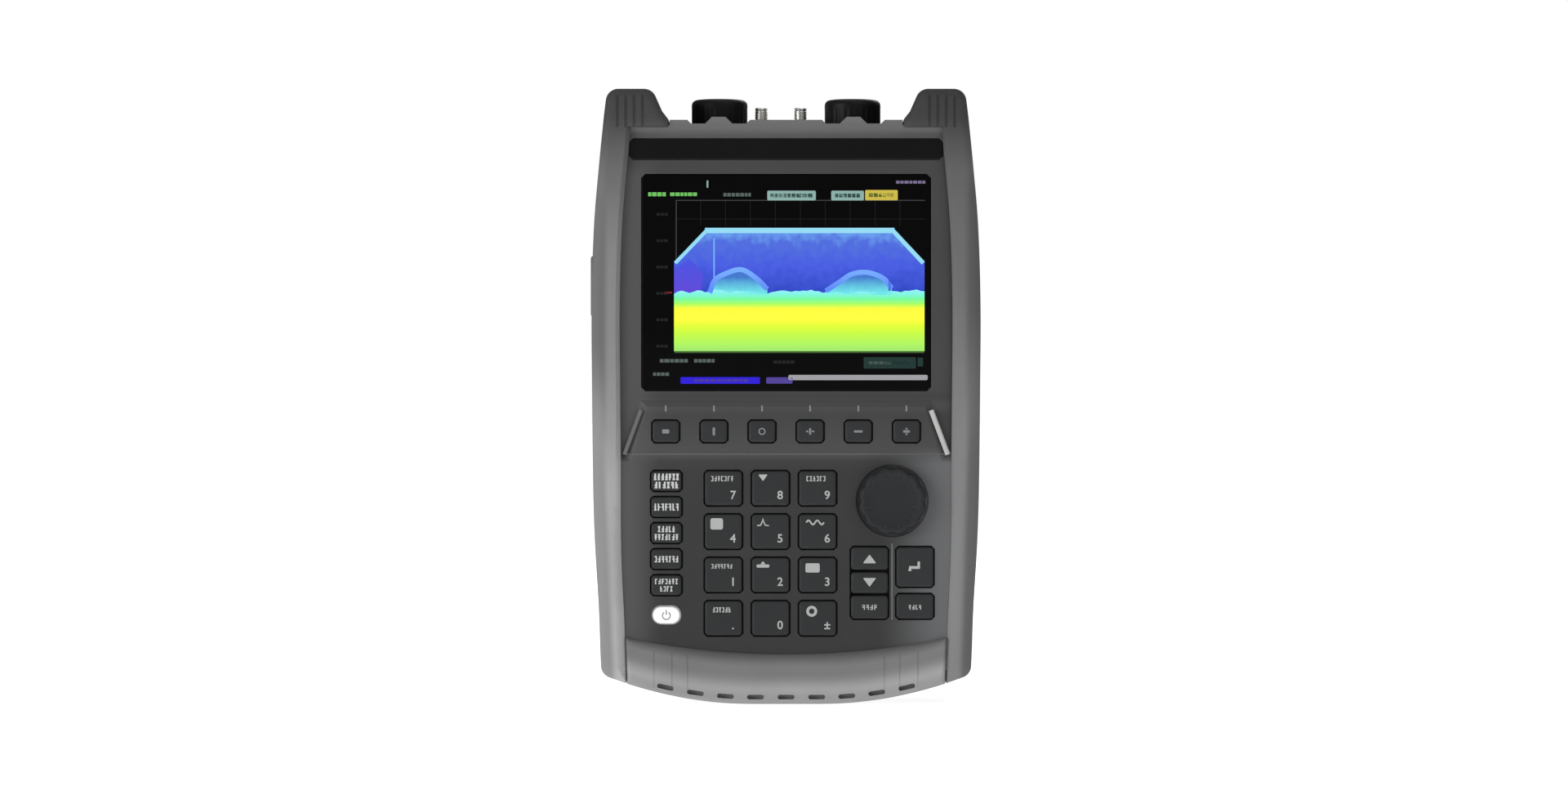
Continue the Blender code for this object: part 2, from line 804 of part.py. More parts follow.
def make_rear_shell(trough, cavity):
    """Rear shell: back wall with battery bay, latch recess, bail ears, side openings and screw columns."""
    outline = casing_outline(core_side, core_sole, core_corner, horn_base_z - clearance)
    shell = new_object("rear_shell", [slab_rings([(rear_start_y, outline), (rear_y, outline)])])
    subtract(shell, cavity)
    columns = cylinders(screw_places, rear_start_y, rear_inner_y + overlap, column_radius)
    half = battery_door_width / 2
    bay_half = half - battery_ledge
    ledge = box_rings((-half - battery_ledge, rear_inner_y - battery_ledge_thickness,
                       battery_door_z - battery_ledge),
                      (half + battery_ledge, rear_inner_y + overlap, battery_door_top + battery_ledge))
    bay = box_rings((-bay_half - bay_wall, bay_front_y, battery_door_z + battery_ledge - bay_wall),
                    (bay_half + bay_wall, rear_inner_y - battery_ledge_thickness + overlap,
                     battery_door_top - battery_ledge + bay_wall))
    unite(shell, helper("screw_columns", columns), helper("bay_ledge", [ledge]), helper("bay_walls", [bay]))
    inner = box_rings((-bay_half, bay_front_y + bay_wall, battery_door_z + battery_ledge),
                      (bay_half, rear_inner_y + overrun, battery_door_top - battery_ledge))
    rebate = box_rings((-half - door_gap, rear_inner_y, battery_door_z - door_gap),
                       (half + door_gap, rear_y + overrun, battery_door_top + door_gap))
    subtract(shell, helper("bay_inside", [inner]), helper("bay_rebate", [rebate]), trough)
    plate = box_rings((plate_rim - plate_half_length, port_y - plate_depth / 2 + plate_rim,
                       cavity_top_z - overrun),
                      (plate_half_length - plate_rim, port_y + plate_depth / 2 - plate_rim,
                       trough_floor_z + overrun))
    latch = box_rings((-latch_recess_width / 2, rear_y - latch_recess_depth, latch_low_z),
                      (latch_recess_width / 2, rear_y + overrun, latch_low_z + latch_recess_height))
    sides = []
    for side in (-1, 1):
        sides.append(box_rings(
            (side * (half_width - lip_width - side_wall), port_door_y + socket_margin,
             window_bottom_z + socket_margin),
            (side * (half_width + overrun), port_door_back_y - socket_margin,
             window_bottom_z + port_door_height - socket_margin)))
    subtract(shell, helper("plate_hole", [plate]), helper("latch_recess", [latch]),
             helper("side_holes", sides))
    ears = []
    holes = []
    for side in (-1, 1):
        inner_x = bail_half + slide_clearance
        ears.append(box_rings((side * inner_x, rear_y - overlap, bail_pivot_z - ear_height / 2),
                              (side * (inner_x + ear_width), back_y, bail_pivot_z + ear_height / 2)))
        holes.append(turned_rings((side * (inner_x - overrun), bail_y, bail_pivot_z), (side, 0, 0),
                                  [(0, bail_pin_radius + clearance),
                                   (overrun + bail_pin_length, bail_pin_radius + clearance)]))
    unite(shell, helper("bail_ears", ears))
    shanks = cylinders(screw_places, rear_start_y - overrun, rear_y + overrun, screw_radius + clearance)
    head = screw_head_y() - clearance
    heads = cylinders(screw_places, head, rear_y + overrun, screw_head_radius + slide_clearance)
    subtract(shell, helper("bail_holes", holes), helper("screw_shanks", shanks),
             helper("screw_heads", heads))
    finish(shell, casing_grey, 0.65)


def screw_head_y():
    """Under face of the case screws' heads."""
    return rear_y - screw_recess - screw_head_height


def make_seal():
    """Gasket in the joint between the two shells."""
    outer = casing_outline(core_side + seal_inset, core_sole + seal_inset, core_corner,
                           trough_floor_z - seal_inset)
    inner_inset = seal_inset + seal_width
    inner = casing_outline(core_side + inner_inset, core_sole + inner_inset, core_corner,
                           trough_floor_z - inner_inset)
    seal = new_object("shell_seal", [slab_rings([(seal_y, outer), (seal_y + seal_thickness, outer)])])
    hole = slab_rings([(seal_y - overrun, inner), (seal_y + seal_thickness + overrun, inner)])
    subtract(seal, helper("seal_hole", [hole]))
    screws = cylinders(screw_places, seal_y - overrun, seal_y + seal_thickness + overrun, boss_radius)
    subtract(seal, helper("seal_screw_gaps", screws))
    finish(seal, black, 0.8)


# Display pieces

def make_display():
    """The window with its flange, the display panel behind it and the bare header strip."""
    pane = rectangle(0, window_z, window_width, window_height, window_corner)
    wide = rectangle(0, window_z, window_width + 2 * window_flange, window_height + 2 * window_flange,
                     window_corner)
    flange_y = front_inner_y + clearance
    window = new_object("display_window", [slab_rings([(window_y, pane), (flange_y, pane), (flange_y, wide),
                                                       (window_back_y, wide)])])
    finish(window, black, 0.12)
    outline = rectangle(0, window_z, window_width - 2 * panel_margin, window_height - 2 * panel_margin,
                        window_corner)
    tray = inset(outline, panel_margin / 2)
    back = panel_front_y + panel_thickness
    panel = new_object("display_panel", [slab_rings([(panel_front_y, outline), (back - overlap, outline),
                                                     (back, tray)])])
    finish(panel, metal, 0.4, 1.0)
    strip = rectangle(0, (header_bottom_z + header_top_z) / 2, 2 * header_half(), header_height,
                      window_corner)
    sections = [(display_y, strip), (display_y + header_thickness, strip)]
    header = new_object("header_strip", [slab_rings(sections)])
    finish(header, black, 0.15)


# Knob and keypad electronics

def scalloped(angle, radius):
    """Radius with shallow scallops, only near the knob's full radius."""
    depth = knob_scallop * max(0.0, radius - knob_recess_radius) / (knob_radius - knob_recess_radius)
    return radius - depth * (0.5 + 0.5 * math.cos(knob_scallops * angle)) ** 2


def make_knob():
    """The knob, hollow underneath and bored for its shaft; it turns about the shaft's axis."""
    base = knob_base_y - knob_face_y
    recess = knob_recess_y - knob_face_y
    bore = shaft_radius + clearance
    profile = [(0, knob_radius - knob_edge), (knob_edge, knob_radius), (base, knob_radius),
               (base, knob_recess_radius), (recess, knob_recess_radius), (recess, bore),
               (knob_bore_y - knob_face_y, bore)]
    rings = turned_rings((nav_x, knob_face_y, knob_z), (0, 1, 0), profile, 3 * knob_scallops, scalloped)
    knob = new_object("rotary_knob", [rings])
    set_origin(knob, (nav_x, knob_face_y, knob_z))
    finish(knob, key_grey, 0.45, smooth=True)
    length = shaft_end_y - shaft_start_y
    shaft = new_object("encoder_shaft", [turned_rings((nav_x, shaft_start_y, knob_z), (0, 1, 0), [
        (0, shaft_radius - key_edge), (key_edge, shaft_radius), (length, shaft_radius)])])
    set_origin(shaft, (nav_x, shaft_start_y, knob_z))
    finish(shaft, steel, 0.3, 1.0, smooth=True)


def board_outline(margin):
    """Outline shared by the keypad mat and its board: it steps round the lower screw bosses."""
    notch_x = screw_low_x - boss_radius - board_margin / 2 - margin
    notch_z = screw_low_z + boss_radius + clearance + margin
    foot_z = pad_bottom_z - key_flange_z - margin
    side = lip_x(notch_z) - margin
    top = window_bottom_z - window_flange - slide_clearance - 2 * clearance - margin
    right = [(notch_x, foot_z), (notch_x, notch_z), (side, notch_z), (side, top)]
    return right + [(-x, z) for x, z in reversed(right)]


def make_keypad():
    """The silicone mat behind the keys, and the keypad board with the encoder on it."""
    outline = board_outline(clearance)
    mat = new_object("keypad_mat", [slab_rings([(mat_y, outline), (mat_y + mat_thickness, outline)])])
    gap = encoder_width + 2 * overlap
    hole = box_rings((nav_x - gap / 2, mat_y - overrun, knob_z - gap / 2),
                     (nav_x + gap / 2, mat_y + mat_thickness + overrun, knob_z + gap / 2))
    subtract(mat, helper("mat_gap", [hole]))
    finish(mat, key_grey, 0.8)
    outline = board_outline(clearance)
    board = new_object("keypad_board", [slab_rings([(keypad_board_y, outline),
                                                    (keypad_board_y + board_thickness, outline)])])
    body = box_rings((nav_x - encoder_width / 2, front_inner_y + clearance, knob_z - encoder_width / 2),
                     (nav_x + encoder_width / 2, keypad_board_y + overlap, knob_z + encoder_width / 2))
    bore = shaft_radius + clearance
    start = panel_y - bushing_proud
    tube = turned_rings((nav_x, start, knob_z), (0, 1, 0),
                        [(0, bore + bushing_wall), (front_inner_y + overlap - start, bore + bushing_wall)])
    unite(board, helper("encoder_body", [body]), helper("encoder_bushing", [tube]))
    drill = turned_rings((nav_x, start - overrun, knob_z), (0, 1, 0),
                         [(0, bore), (shaft_end_y + clearance - start + overrun, bore)])
    subtract(board, helper("encoder_bore", [drill]))
    finish(board, board_green, 0.5)


# Inner structure

def frame_outline(low, high, margin):
    """A plate that reaches the side walls between two heights."""
    right = []
    for step in range(side_steps // 2 + 1):
        z = low + (high - low) * step / (side_steps // 2)
        right.append((side_x(z) - cavity_side - margin, z))
    return right + [(-x, z) for x, z in reversed(right)]


def make_inside():
    """The cast frame, the main board with its shield cans, and the radio module behind the display."""
    low = screw_low_z + column_radius + frame_end_gap
    high = screw_top_z - column_radius - frame_end_gap / 2
    plate = frame_outline(low, high, slide_clearance)
    frame = new_object("chassis_frame", [slab_rings([(frame_y, plate), (frame_back_y, plate)])])
    rim_y = parting_y + overlap
    outer = rectangle(0, (low + high) / 2, 2 * (module_half_width + frame_rim), high - low - 2 * frame_rim)
    rim = slab_rings([(rim_y, outer), (frame_y + overlap, outer)])
    inner = inset(outer, frame_rim)
    well = slab_rings([(rim_y - overrun, inner), (frame_y, inner)])
    unite(frame, helper("frame_rim", [rim]))
    subtract(frame, helper("frame_well", [well]))
    finish(frame, metal, 0.45, 1.0)

    outline = rectangle(0, (low + high) / 2, 2 * (module_half_width - clearance),
                        high - low - 4 * frame_rim)
    board = new_object("main_board", [slab_rings([(main_board_y, outline),
                                                  (main_board_y + board_thickness, outline)])])
    cans = []
    can_x = can_width / 2 + overlap
    can_back = main_board_y + board_thickness + can_height
    for x in (-can_x, can_x):
        for z in (high - 2 * can_depth, low + can_depth):
            cans.append(box_rings((x - can_width / 2, main_board_y + overlap, z - can_depth / 2),
                                  (x + can_width / 2, can_back, z + can_depth / 2)))
    unite(board, helper("shield_cans", cans))
    finish(board, board_green, 0.5)

    start = frame_back_y + clearance
    end = rear_inner_y - module_back_gap
    bottom = battery_door_top + battery_ledge + module_bottom_gap
    top = cavity_top_z - plate_rim - clearance
    body = rectangle(0, (bottom + top) / 2, 2 * module_half_width, top - bottom)
    module = new_object("rf_module", [slab_rings([(start, body), (end, body)])])
    ribs = []
    count = int((top - bottom) / module_rib_pitch)
    for index in range(1, count):
        z = bottom + index * module_rib_pitch
        ribs.append(box_rings((module_rib - module_half_width, end - overlap, z - module_rib / 2),
                              (module_half_width - module_rib, end + module_rib, z + module_rib / 2)))
    unite(module, helper("module_ribs", ribs))
    finish(module, metal, 0.45, 1.0)


# Ports and caps

def make_ports():
    """The connector plate with two large and two small coaxial ports, and the large ports' dust caps."""
    low_z = trough_floor_z + clearance
    top_z = low_z + plate_thickness
    plate = box_rings((-plate_half_length, port_y - plate_depth / 2, low_z),
                      (plate_half_length, port_y + plate_depth / 2, top_z))
    connectors = new_object("port_connectors", [plate])
    under = box_rings((plate_rim + clearance - plate_half_length,
                       port_y - plate_depth / 2 + plate_rim + clearance, cavity_top_z - plate_rim),
                      (plate_half_length - plate_rim - clearance,
                       port_y + plate_depth / 2 - plate_rim - clearance, low_z + overlap))
    bodies = []
    bores = []
    for side in (-1, 1):
        x = side * port_spacing / 2
        profile = [(-overlap, port_base_radius), (port_base_height, port_base_radius),
                   (port_base_height, port_radius), (port_height, port_radius)]
        bodies.append(turned_rings((x, port_y, top_z), (0, 0, 1), profile))
        bores.append(turned_rings((x, port_y, top_z), (0, 0, 1),
                                  [(port_height - port_bore_depth, port_bore_radius),
                                   (port_height + overrun, port_bore_radius)]))
    for x in (-small_port_left, small_port_right):
        profile = [(-overlap, small_port_base_radius), (port_base_height, small_port_base_radius),
                   (port_base_height, small_port_radius), (small_port_height, small_port_radius)]
        bodies.append(turned_rings((x, port_y, top_z), (0, 0, 1), profile, ring_steps // 2))
        bores.append(turned_rings((x, port_y, top_z), (0, 0, 1),
                                  [(small_port_height - small_port_bore_depth, small_port_bore),
                                   (small_port_height + overrun, small_port_bore)], ring_steps // 2))
    unite(connectors, helper("plate_boss", [under]), helper("port_bodies", bodies))
    subtract(connectors, helper("port_bores", bores))
    finish(connectors, metal, 0.3, 1.0, smooth=True)

    base_z = top_z + port_base_height + clearance
    inner_z = top_z + port_height + clearance
    bore = port_radius + slide_clearance
    outer = bore + cap_wall
    for number, side in ((1, -1), (2, 1)):
        x = side * port_spacing / 2
        top = inner_z + cap_top - base_z
        profile = [(inner_z - base_z, bore), (0, bore), (0, outer), (top - cap_edge, outer)]
        for step in range(1, round_steps + 1):
            angle = math.pi / 2 * step / round_steps
            profile.append((top - cap_edge * (1 - math.sin(angle)),
                            outer - cap_edge * (1 - math.cos(angle))))
        cap = new_object(f"port_{number}_cap", [turned_rings((x, port_y, base_z), (0, 0, 1), profile)])
        set_origin(cap, (x, port_y, base_z))
        finish(cap, black, 0.6, smooth=True)


# Side doors and the connectors behind them

def make_side(side):
    """Port door in the grip's opening, hinged along its rear edge, and the connector block behind it."""
    name = "left" if side < 0 else "right"
    bottom = window_bottom_z + door_gap
    top = window_bottom_z + port_door_height - door_gap
    sections = []
    for y in (port_door_y + door_gap, port_door_back_y - door_gap):
        outer = []
        inner = []
        for step in range(side_steps // 2 + 1):
            z = bottom + (top - bottom) * step / (side_steps // 2)
            outer.append((side * side_x(z), z))
            inner.append((side * (side_x(z) - port_door_thickness), z))
        sections.append((y, outer + inner[::-1]))
    door = new_object(f"{name}_port_door", [slab_rings(sections)])
    if side < 0:
        middle = (bottom + top) / 2 + tab_height / 4
        tab = box_rings((-half_width - tab_rise, port_door_y + door_gap, middle - tab_height / 2),
                        (-half_width + port_door_thickness / 2, port_door_y + door_gap + tab_width,
                         middle + tab_height / 2))
        unite(door, helper("door_tab", [tab]))
    set_origin(door, (side * half_width, port_door_back_y - door_gap, (bottom + top) / 2))
    finish(door, rubber, 0.75)

    face = side_x(bottom) - core_side - socket_sink
    board_x = face - socket_depth
    start_y = frame_back_y + clearance
    end_y = port_door_back_y - socket_margin - clearance
    low = bottom + socket_margin
    high = top - socket_margin
    block = new_object("data_connectors" if side < 0 else "power_connectors", [
        box_rings((side * board_x, start_y, low), (side * (board_x - board_thickness), end_y, high))])
    mid_y = (port_door_y + port_door_back_y) / 2
    bodies = []
    holes = []
    for share, width, height in socket_shares(side):
        z = low + (high - low) * share
        half_y = (end_y - start_y) * width / 2
        half_z = (high - low) * height / 2
        bodies.append(box_rings((side * (board_x - overlap), mid_y - half_y, z - half_z),
                                (side * face, mid_y + half_y, z + half_z)))
        hole_y = half_y - socket_wall
        hole_z = half_z - socket_wall
        holes.append(box_rings((side * (board_x + overrun), mid_y - hole_y, z - hole_z),
                               (side * (face + overrun), mid_y + hole_y, z + hole_z)))
    unite(block, helper(f"{name}_sockets", bodies))
    subtract(block, helper(f"{name}_socket_holes", holes))
    finish(block, steel, 0.4, 1.0)


def socket_shares(side):
    """Sockets of a side as (place up the board, width, height), in shares of the board."""
    if side < 0:
        return ((0.15, 0.75, 0.2), (0.43, 0.5, 0.22), (0.69, 0.5, 0.22), (0.9, 0.4, 0.12))
    return ((0.15, 0.6, 0.18), (0.42, 0.6, 0.14), (0.75, 0.5, 0.4))


# Battery bay, bail stand and screws

def make_battery():
    """Battery pack in its bay, the bay's door hinged at its bottom edge, and the latch above it."""
    half = battery_door_width / 2 - battery_ledge - slide_clearance
    front = bay_front_y + bay_wall + clearance
    body = rectangle(0, (battery_door_z + battery_door_top) / 2, 2 * half,
                     battery_door_height - 2 * battery_ledge - 2 * slide_clearance, key_corner)
    back = rear_inner_y - clearance
    pack = new_object("battery_pack", [slab_rings([(front, inset(body, key_edge)), (front + key_edge, body),
                                                   (back - key_edge, body), (back, inset(body, key_edge))])])
    finish(pack, black, 0.6)

    outline = rectangle(0, (battery_door_z + battery_door_top) / 2, battery_door_width, battery_door_height)
    start = rear_y - battery_door_thickness
    door = new_object("battery_door", [slab_rings([(start, outline), (rear_y - key_edge, outline),
                                                   (rear_y, inset(outline, key_edge))])])
    set_origin(door, (0, rear_y, battery_door_z))
    finish(door, casing_grey, 0.65)

    low = latch_low_z + slide_clearance
    base = rear_y - latch_recess_depth + clearance
    corner = (latch_width / 2, rear_y - latch_rib, low + latch_height)
    latch = new_object("battery_latch", [box_rings((-latch_width / 2, base, low), corner)])
    ribs = []
    for index in range(3):
        z = low + latch_height * (index + 1) / 4
        ribs.append(box_rings((latch_rib - latch_width / 2, rear_y - 2 * latch_rib, z - latch_rib_width / 2),
                              (latch_width / 2 - latch_rib, rear_y, z + latch_rib_width / 2)))
    unite(latch, helper("latch_ribs", ribs))
    set_origin(latch, (0, base, low))
    finish(latch, black, 0.5)


def make_bail():
    """U-shaped stand that lies on the back and swings out about its two pins."""
    half = bail_thickness / 2
    bodies = []
    for side in (-1, 1):
        profile = []
        for step in range(2 * round_steps + 1):
            angle = math.pi * step / (2 * round_steps)
            profile.append((bail_y - half * math.cos(angle), bail_pivot_z + half * math.sin(angle)))
        profile.append((bail_y + half, bail_bottom_z))
        profile.append((bail_y - half, bail_bottom_z))
        inner = side * (bail_half - bail_leg_width)
        outer = side * bail_half
        bodies.append([[(x, y, z) for y, z in profile] for x in (inner, outer)])
    bail = new_object("bail_stand", [bodies[0]])
    leg_x = bail_half - bail_leg_width / 2
    bar = box_rings((-leg_x, bail_y - half + key_edge / 2, bail_bottom_z + key_edge / 2),
                    (leg_x, bail_y + half - key_edge / 2, bail_bottom_z + bail_bar_height))
    pins = []
    for side in (-1, 1):
        pin = [(0, bail_pin_radius), (bail_leg_width / 2 + bail_pin_length, bail_pin_radius)]
        pins.append(turned_rings((side * leg_x, bail_y, bail_pivot_z), (side, 0, 0), pin, ring_steps // 2))
    unite(bail, helper("bail_bar", [bar]), helper("bail_leg", [bodies[1]]), helper("bail_pins", pins))
    set_origin(bail, (0, bail_y, bail_pivot_z))
    finish(bail, key_grey, 0.5)


def make_screws():
    """The four long screws that hold the shells together from the back."""
    for number, (x, z) in enumerate(screw_places, 1):
        seat = screw_head_y()
        profile = [(parting_y - screw_into_front - seat, screw_radius), (0, screw_radius),
                   (0, screw_head_radius), (screw_head_height, screw_head_radius),
                   (screw_head_height, drive_radius), (screw_head_height - drive_depth, drive_radius)]
        screw = new_object(f"case_screw_{number}", [
            turned_rings((x, seat, z), (0, 1, 0), profile, ring_steps // 2)])
        finish(screw, steel, 0.35, 1.0, smooth=True)


def main():
    for old in list(bpy.data.objects):
        bpy.data.objects.remove(old)
    core = core_cutter()
    trough = trough_cutter()
    cavity = cavity_cutter()
    make_front_shell(trough, cavity)
    make_rear_shell(trough, cavity)
    make_seal()
    make_grip("left_side_grip", -1, core)
    make_grip("right_side_grip", 1, core)
    make_bumper(core)
    make_display()
    make_keys()
    make_knob()
    make_keypad()
    make_inside()
    make_ports()
    make_side(-1)
    make_side(1)
    make_battery()
    make_bail()
    make_screws()


main()
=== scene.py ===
import json
import math
import random

import bmesh
import bpy
from mathutils import Matrix, Vector


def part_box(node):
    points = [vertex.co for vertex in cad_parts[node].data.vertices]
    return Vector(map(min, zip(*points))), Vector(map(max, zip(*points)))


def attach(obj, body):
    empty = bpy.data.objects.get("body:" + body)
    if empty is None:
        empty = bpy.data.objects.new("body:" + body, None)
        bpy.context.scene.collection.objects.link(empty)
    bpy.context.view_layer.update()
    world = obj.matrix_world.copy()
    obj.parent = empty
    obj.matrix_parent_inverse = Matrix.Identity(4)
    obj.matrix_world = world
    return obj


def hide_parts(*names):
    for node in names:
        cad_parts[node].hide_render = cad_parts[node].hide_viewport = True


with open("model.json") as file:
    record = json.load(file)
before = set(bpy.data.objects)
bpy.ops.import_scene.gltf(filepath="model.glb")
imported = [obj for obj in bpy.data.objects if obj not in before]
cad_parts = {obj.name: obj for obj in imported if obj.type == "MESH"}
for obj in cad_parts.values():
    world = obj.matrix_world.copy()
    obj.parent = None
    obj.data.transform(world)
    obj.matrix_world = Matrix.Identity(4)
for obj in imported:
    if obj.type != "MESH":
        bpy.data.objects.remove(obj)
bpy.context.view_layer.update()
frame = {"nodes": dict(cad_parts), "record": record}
nodes = frame["nodes"]
print("frame loaded:", len(nodes), "nodes")

mm = 0.001   # every size below is in millimetres; meshes are scaled to metres as they are made
random.seed(7)


# Small helpers: colours, node trees, boxes

def tone(red, green=None, blue=None):
    shades = (red, red if green is None else green, red if blue is None else blue)
    linear = []
    for shade in shades:
        share = shade / 255
        linear.append(share / 12.92 if share <= 0.04045 else ((share + 0.055) / 1.055) ** 2.4)
    return (*linear, 1.0)


# Each socket is set to a value or wired to the output given for it
def feed(tree, node, sockets):
    for key, value in sockets.items():
        if isinstance(value, bpy.types.NodeSocket):
            tree.links.new(value, node.inputs[key])
        else:
            node.inputs[key].default_value = value
    return node


def put(tree, kind, sockets=None, **settings):
    node = tree.nodes.new(kind)
    for key, value in settings.items():
        setattr(node, key, value)
    return feed(tree, node, sockets or {})


def compute(tree, operation, *values, **settings):
    return put(tree, "ShaderNodeMath", dict(enumerate(values)), operation=operation, **settings).outputs[0]


def remap(tree, value, low, high, toLow=0.0, toHigh=1.0, **settings):
    sockets = {"Value": value, "From Min": low, "From Max": high, "To Min": toLow, "To Max": toHigh}
    return put(tree, "ShaderNodeMapRange", sockets, **settings).outputs[0]


def placeIn(tree):
    return put(tree, "ShaderNodeTexCoord").outputs["Object"]


def reachAlong(tree, place, axis):
    return put(tree, "ShaderNodeVectorMath", {0: place, 1: axis}, operation="DOT_PRODUCT").outputs["Value"]


def noiseOver(tree, place, scale, detail, roughness):
    sockets = {"Vector": place, "Scale": scale, "Detail": detail, "Roughness": roughness}
    return put(tree, "ShaderNodeTexNoise", sockets).outputs["Fac"]


def colourRamp(tree, value, stops):
    ramp = put(tree, "ShaderNodeValToRGB", {"Fac": value})
    elements = ramp.color_ramp.elements
    while len(elements) < len(stops):
        elements.new(0.5)
    for element, (position, *shade) in zip(elements, stops):
        element.position = position
        element.color = tone(*shade)
    return ramp.outputs["Color"]


def boxOf(node):
    low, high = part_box(node)
    return low / mm, high / mm


def evenly(start, end, count):
    return [start + (end - start) * step / count for step in range(count + 1)]


def smoothStep(low, high, value):
    share = min(max((value - low) / (high - low), 0.0), 1.0)
    return share * share * (3 - 2 * share)


# Shader groups that several finishes share

def newGroup(name, inputs, outputs):
    group = bpy.data.node_groups.new(name, "ShaderNodeTree")
    for label, kind, value in inputs:
        socket = group.interface.new_socket(label, in_out="INPUT", socket_type="NodeSocket" + kind)
        socket.default_value = value
    for label, kind in outputs:
        group.interface.new_socket(label, in_out="OUTPUT", socket_type="NodeSocket" + kind)
    return group, put(group, "NodeGroupInput").outputs, placeIn(group)


def makeMouldGrain():
    group, given, place = newGroup("mouldGrain", [("Scale", "Float", 1500.0)],
                                   [("Height", "Float"), ("Speckle", "Float")])
    pebble = put(group, "ShaderNodeTexVoronoi", {"Vector": place, "Scale": given["Scale"], "Randomness": 1.0},
                 feature="SMOOTH_F1")
    fine = noiseOver(group, place, given["Scale"], 3.0, 0.6)
    height = compute(group, "MULTIPLY_ADD", pebble.outputs["Distance"], fine, 0.35)
    put(group, "NodeGroupOutput", {"Height": height, "Speckle": fine})
    return group


def makeToneDrift():
    group, given, place = newGroup("toneDrift", [("Colour", "Color", tone(128)), ("Amount", "Float", 0.1)],
                                   [("Colour", "Color"), ("Patch", "Float")])
    broad = noiseOver(group, place, 26.0, 4.0, 0.65)
    spread = remap(group, broad, 0.3, 0.7, -0.5, 0.5)
    value = compute(group, "ADD", compute(group, "MULTIPLY", spread, given["Amount"]), 1.0)
    tint = put(group, "ShaderNodeHueSaturation", {"Value": value, "Color": given["Colour"]})
    put(group, "NodeGroupOutput", {"Colour": tint.outputs["Color"], "Patch": broad})
    return group


def makeEdgeWear():
    group, given, place = newGroup("edgeWear", [("Amount", "Float", 0.4)], [("Mask", "Float")])
    edge = remap(group, put(group, "ShaderNodeNewGeometry").outputs["Pointiness"], 0.52, 0.62)
    patch = remap(group, noiseOver(group, place, 140.0, 5.0, 0.7), 0.4, 0.62)
    both = compute(group, "MULTIPLY", edge, patch)
    put(group, "NodeGroupOutput", {"Mask": compute(group, "MULTIPLY", both, given["Amount"], use_clamp=True)})
    return group


def makeBand():
    group, given, place = newGroup("bandAlong", [("From", "Float", 0.0), ("To", "Float", 1.0),
                                                 ("Axis", "Vector", (1.0, 0.0, 0.0))], [("Mask", "Float")])
    mask = remap(group, reachAlong(group, place, given["Axis"]), given["From"], given["To"],
                 interpolation_type="SMOOTHSTEP")
    put(group, "NodeGroupOutput", {"Mask": mask})
    return group


mouldGrain, toneDrift, edgeWear, bandAlong = makeMouldGrain(), makeToneDrift(), makeEdgeWear(), makeBand()
print("shader groups ready")


# The casing's measures, the same as the solids'

casing = {"halfWidth": 92.99, "height": 294.0, "lipWidth": 12.0, "gripWall": 4.0, "bumperWall": 6.0,
          "soleHalf": 16.0, "soleRadius": 187.0, "lowCorner": 6.0, "crestZ": 279.1, "hornBase": 276.8,
          "hornRoot": 56.0, "hornNeck": 59.2, "neckRise": 4.1, "hornTopInner": 64.0, "hornCorner": 6.0,
          "frontY": -31.0, "backY": 36.0, "panelY": -28.5, "rearY": 31.0,
          "sides": ((0.0, 0.95), (0.14, 0.961), (0.26, 0.983), (0.348, 0.992), (0.52, 0.998), (0.65, 1.0),
                    (0.777, 0.988), (0.873, 0.963), (0.968, 0.933), (1.0, 0.92))}
frontY, backY, panelY, rearY = casing["frontY"], casing["backY"], casing["panelY"], casing["rearY"]


# Finishes

def newMaterial(name, sockets):
    finish = bpy.data.materials.new(name)
    finish.use_nodes = True
    tree = finish.node_tree
    return finish, tree, feed(tree, tree.nodes["Principled BSDF"], sockets)


# The ramp given as along and the bands mixed over it paint light and shade into the base colour
def surface(name, colour, roughness, grain=1500.0, bump=0.25, depth=0.05, drift=0.08, wear=0.0,
            wearColour=None, metallic=0.0, coat=0.0, specular=0.3, along=None, paintedShadingBands=()):
    finish, tree, shader = newMaterial(name, {
        "Metallic": metallic, "Coat Weight": coat, "Coat Roughness": 0.15, "Specular IOR Level": specular})
    base = paintedShadingRamp(tree, *along) if along else colour
    tint = put(tree, "ShaderNodeGroup", {"Colour": base, "Amount": drift}, node_tree=toneDrift).outputs
    out = tint["Colour"]
    for shade, *spans in paintedShadingBands:
        masks = []
        for axis, start, end in spans:
            sockets = {"Axis": axis, "From": start * mm, "To": end * mm}
            masks.append(put(tree, "ShaderNodeGroup", sockets, node_tree=bandAlong).outputs["Mask"])
        mask = masks[0]
        for other in masks[1:]:
            mask = compute(tree, "MULTIPLY", mask, other)
        out = mixed(tree, mask, out, shade)
    if wear:
        worn = put(tree, "ShaderNodeGroup", {"Amount": wear}, node_tree=edgeWear)
        out = mixed(tree, worn.outputs["Mask"], out, wearColour)
    texture = put(tree, "ShaderNodeGroup", {"Scale": grain}, node_tree=mouldGrain)
    relief = put(tree, "ShaderNodeBump", {"Strength": bump, "Distance": depth * mm,
                                          "Height": texture.outputs["Height"]})
    gloss = remap(tree, tint["Patch"], 0.0, 1.0, roughness - 0.07, min(roughness + 0.07, 1.0))
    feed(tree, shader, {"Base Color": out, "Roughness": gloss, "Normal": relief.outputs["Normal"]})
    return finish


def mixed(tree, mask, first, shade):
    sockets = {"Factor": mask, "A": first, "B": shade}
    return put(tree, "ShaderNodeMix", sockets, data_type="RGBA").outputs["Result"]


